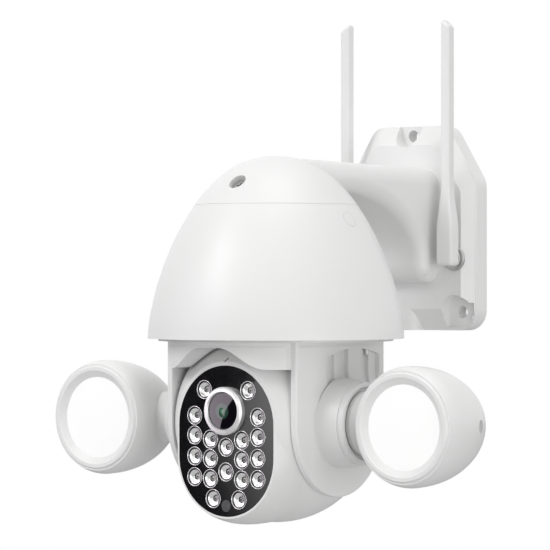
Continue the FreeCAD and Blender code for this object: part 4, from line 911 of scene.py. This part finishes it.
@dataclass
class Studio:
    """Camera, pale floor, white backdrop and soft lights."""

    azimuth: float = 37.3
    distance: float = 1.68
    reach: float = 0.131
    height: float = -0.0259
    focal: float = 214.4
    frame_pixels: int = 550
    floor_drop: float = 0.9
    fill_low: float = 0.6
    fill_high: float = 0.72
    gloss: float = 1.0
    face_stand: float = 0.0416
    face_height: float = -0.109
    card_distance: float = 0.9
    card_half: float = 0.55
    card_lean: float = 1.35
    card_edge: float = -0.017
    card_tilt: float = 0.5
    card_high: float = 1.5
    card_start: float = -0.03
    card_end: float = 0.05
    card_middle: float = 0.08
    card_far: float = 1.5
    lens_edge: float = 0.1

    def camera(self) -> None:
        """Makes the camera: level, with a long lens, facing the pan axis."""
        data = bpy.data.cameras.new("camera")
        data.lens = self.focal
        data.sensor_width = 36.0
        data.shift_x = -1.0 / self.frame_pixels
        data.shift_y = 1.0 / self.frame_pixels
        item = bpy.data.objects.new("camera", data)
        bpy.context.collection.objects.link(item)
        turn = math.radians(self.azimuth)
        item.location = (math.sin(turn) * self.distance,
                         -self.reach - math.cos(turn) * self.distance, self.height)
        item.rotation_euler = (math.pi / 2.0, 0.0, turn)
        bpy.context.scene.camera = item

    def world(self) -> None:
        """Makes the white surround: white to the eye, softer as a fill light."""
        world = bpy.data.worlds.new("surround")
        bpy.context.scene.world = world
        world.use_nodes = True
        graph = Graph(world.node_tree)
        out = graph.add("OutputWorld")
        path = graph.add("LightPath")
        up = graph.add("SeparateXYZ", {0: graph.add("TexCoord").outputs["Generated"]}).outputs["Z"]
        fill = graph.span(up, self.fill_low, self.fill_high, -0.6, 0.6)
        glossy = graph.math("MULTIPLY", path.outputs["Is Glossy Ray"], self.gloss)
        seen = graph.math("MAXIMUM", path.outputs["Is Camera Ray"], glossy)
        strength = graph.math("MAXIMUM", fill, seen)
        back = graph.add("Background", {"Color": (1.0, 1.0, 1.0, 1.0), "Strength": strength})
        graph.tree.links.new(back.outputs[0], out.inputs["Surface"])

    def floor(self) -> None:
        """Makes the pale floor, seen as white."""
        mesh = bpy.data.meshes.new("floor")
        half = 40.0
        mesh.from_pydata([(-half, -half, 0.0), (half, -half, 0.0), (half, half, 0.0), (-half, half, 0.0)],
                         [], [(0, 1, 2, 3)])
        mesh.transform(Matrix.Translation((0.0, 0.0, -self.floor_drop)))
        item = bpy.data.objects.new("floor", mesh)
        bpy.context.collection.objects.link(item)
        material = bpy.data.materials.new("floor_white")
        material.use_nodes = True
        graph = Graph(material.node_tree)
        out = graph.add("OutputMaterial")
        diffuse = graph.add("BsdfDiffuse", {"Color": (0.5, 0.5, 0.5, 1.0)})
        white = graph.add("Emission", {"Color": (1.0, 1.0, 1.0, 1.0), "Strength": 1.0})
        seen = graph.add("LightPath").outputs["Is Camera Ray"]
        mix = graph.add("MixShader", {0: seen})
        graph.tree.links.new(diffuse.outputs[0], mix.inputs[1])
        graph.tree.links.new(white.outputs[0], mix.inputs[2])
        graph.tree.links.new(mix.outputs[0], out.inputs["Surface"])
        mesh.materials.append(material)

    def card(self) -> None:
        """Makes the dark card that the eye's polished face and lens mirror.

        It stands where the camera's line of sight goes after the flat face turns it back, and only
        mirrors see it. Its places are in metres from its middle. The flat panel mirrors just the
        middle, which is dark with a grey part past a slanting edge. The bulging lens mirrors the
        wide surround too, which is grey on the upper left of a second edge and black beyond it.
        """
        turn = math.radians(self.azimuth)
        face = Vector((0.0, -self.reach - self.face_stand, self.face_height))
        eye = Vector((math.sin(turn) * self.distance, -self.reach - math.cos(turn) * self.distance,
                      self.height))
        mirrored = Vector((eye.x, 2.0 * face.y - eye.y, eye.z))
        line = (face - mirrored).normalized()
        centre = face + line * self.card_distance
        across = Vector((0.0, 0.0, 1.0)).cross(line).normalized()
        upward = line.cross(across).normalized()
        half = self.card_half
        edges = [(-half, -half), (half, -half), (half, half), (-half, half)]
        mesh = bpy.data.meshes.new("flag_card")
        mesh.from_pydata([tuple(centre + across * x + upward * z) for x, z in edges], [], [(0, 1, 2, 3)])
        layer = mesh.uv_layers.new(name="place")
        layer.data.foreach_set("uv", np.array(edges, dtype=np.float32).ravel())
        item = bpy.data.objects.new("flag_card", mesh)
        bpy.context.collection.objects.link(item)
        item.visible_camera = item.visible_diffuse = item.visible_shadow = False
        item.visible_transmission = False
        material = bpy.data.materials.new("card_tones")
        material.use_nodes = True
        graph = Graph(material.node_tree)
        out = graph.add("OutputMaterial")
        uv = graph.add("UVMap", uv_map="place").outputs[0]
        place = graph.add("SeparateXYZ", {0: uv})
        right, high = place.outputs["X"], place.outputs["Y"]
        slant = graph.math("SUBTRACT", graph.math("MULTIPLY", right, self.card_lean), high)
        near = graph.span(slant, 0.0, 1.0, self.card_edge, self.card_edge + 0.002)
        rise = graph.math("ADD", right, graph.math("MULTIPLY", high, self.card_tilt))
        fade = graph.span(rise, 0.0, self.card_high, self.card_start, self.card_end)
        away = graph.add("VectorMath", {0: uv}, operation="LENGTH").outputs["Value"]
        middle = graph.math("LESS_THAN", away, self.card_middle)
        face_tone = graph.math("MULTIPLY", graph.math("MULTIPLY", near, fade), middle)
        far = graph.span(slant, 1.0, 0.0, self.lens_edge, self.lens_edge + 0.01)
        lens_tone = graph.math("MULTIPLY", graph.math("MULTIPLY", far, self.card_far),
                               graph.math("SUBTRACT", 1.0, middle))
        tint = graph.blend(middle, (1.0, 0.88, 1.0), (1.0, 1.0, 1.0))
        glow = graph.add("Emission", {"Color": tint, "Strength": graph.math("ADD", face_tone, lens_tone)})
        graph.tree.links.new(glow.outputs[0], out.inputs["Surface"])
        mesh.materials.append(material)

    def light(self, name: str, place: tuple, target: tuple, size: float, power: float) -> None:
        """Makes one soft square light.

        Args:
            name: its name.
            place: where it stands, in metres.
            target: the point that it faces.
            size: its side, in metres.
            power: its power, in watts.
        """
        data = bpy.data.lights.new(name, "AREA")
        data.size = size
        data.energy = power
        item = bpy.data.objects.new(name, data)
        bpy.context.collection.objects.link(item)
        item.location = place
        aim = Vector(target) - Vector(place)
        item.rotation_euler = aim.to_track_quat("-Z", "Y").to_euler()

    def build(self) -> None:
        """Sets up the whole studio."""
        self.camera()
        self.world()
        self.floor()
        self.card()
        middle = (0.0, -self.reach, -0.03)
        self.light("key_light", (-0.9, -1.9, 1.3), middle, 1.0, 18.0)
        self.light("side_light", (2.0, -1.0, -0.5), middle, 1.4, 17.0)
        self.light("top_light", (0.3, -0.3, 1.9), middle, 1.2, 8.0)
        view = bpy.context.scene.view_settings
        view.view_transform = "Standard"
        view.look = "None"


def main() -> None:
    """Builds the looks in order and reports each piece."""
    logging.basicConfig(level=logging.INFO, format="%(name)s: %(message)s")
    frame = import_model()
    paint = Paintbox()
    makers = [CadDressing(frame), EyeFace(), Antenna(Side.LEFT), Antenna(Side.RIGHT)]
    for maker in makers:
        for item in maker.build(paint):
            LOG.info("%s: %s with %d faces", type(maker).__name__, item.name, len(item.data.polygons))
    Studio().build()


if __name__ == "__main__":
    main()
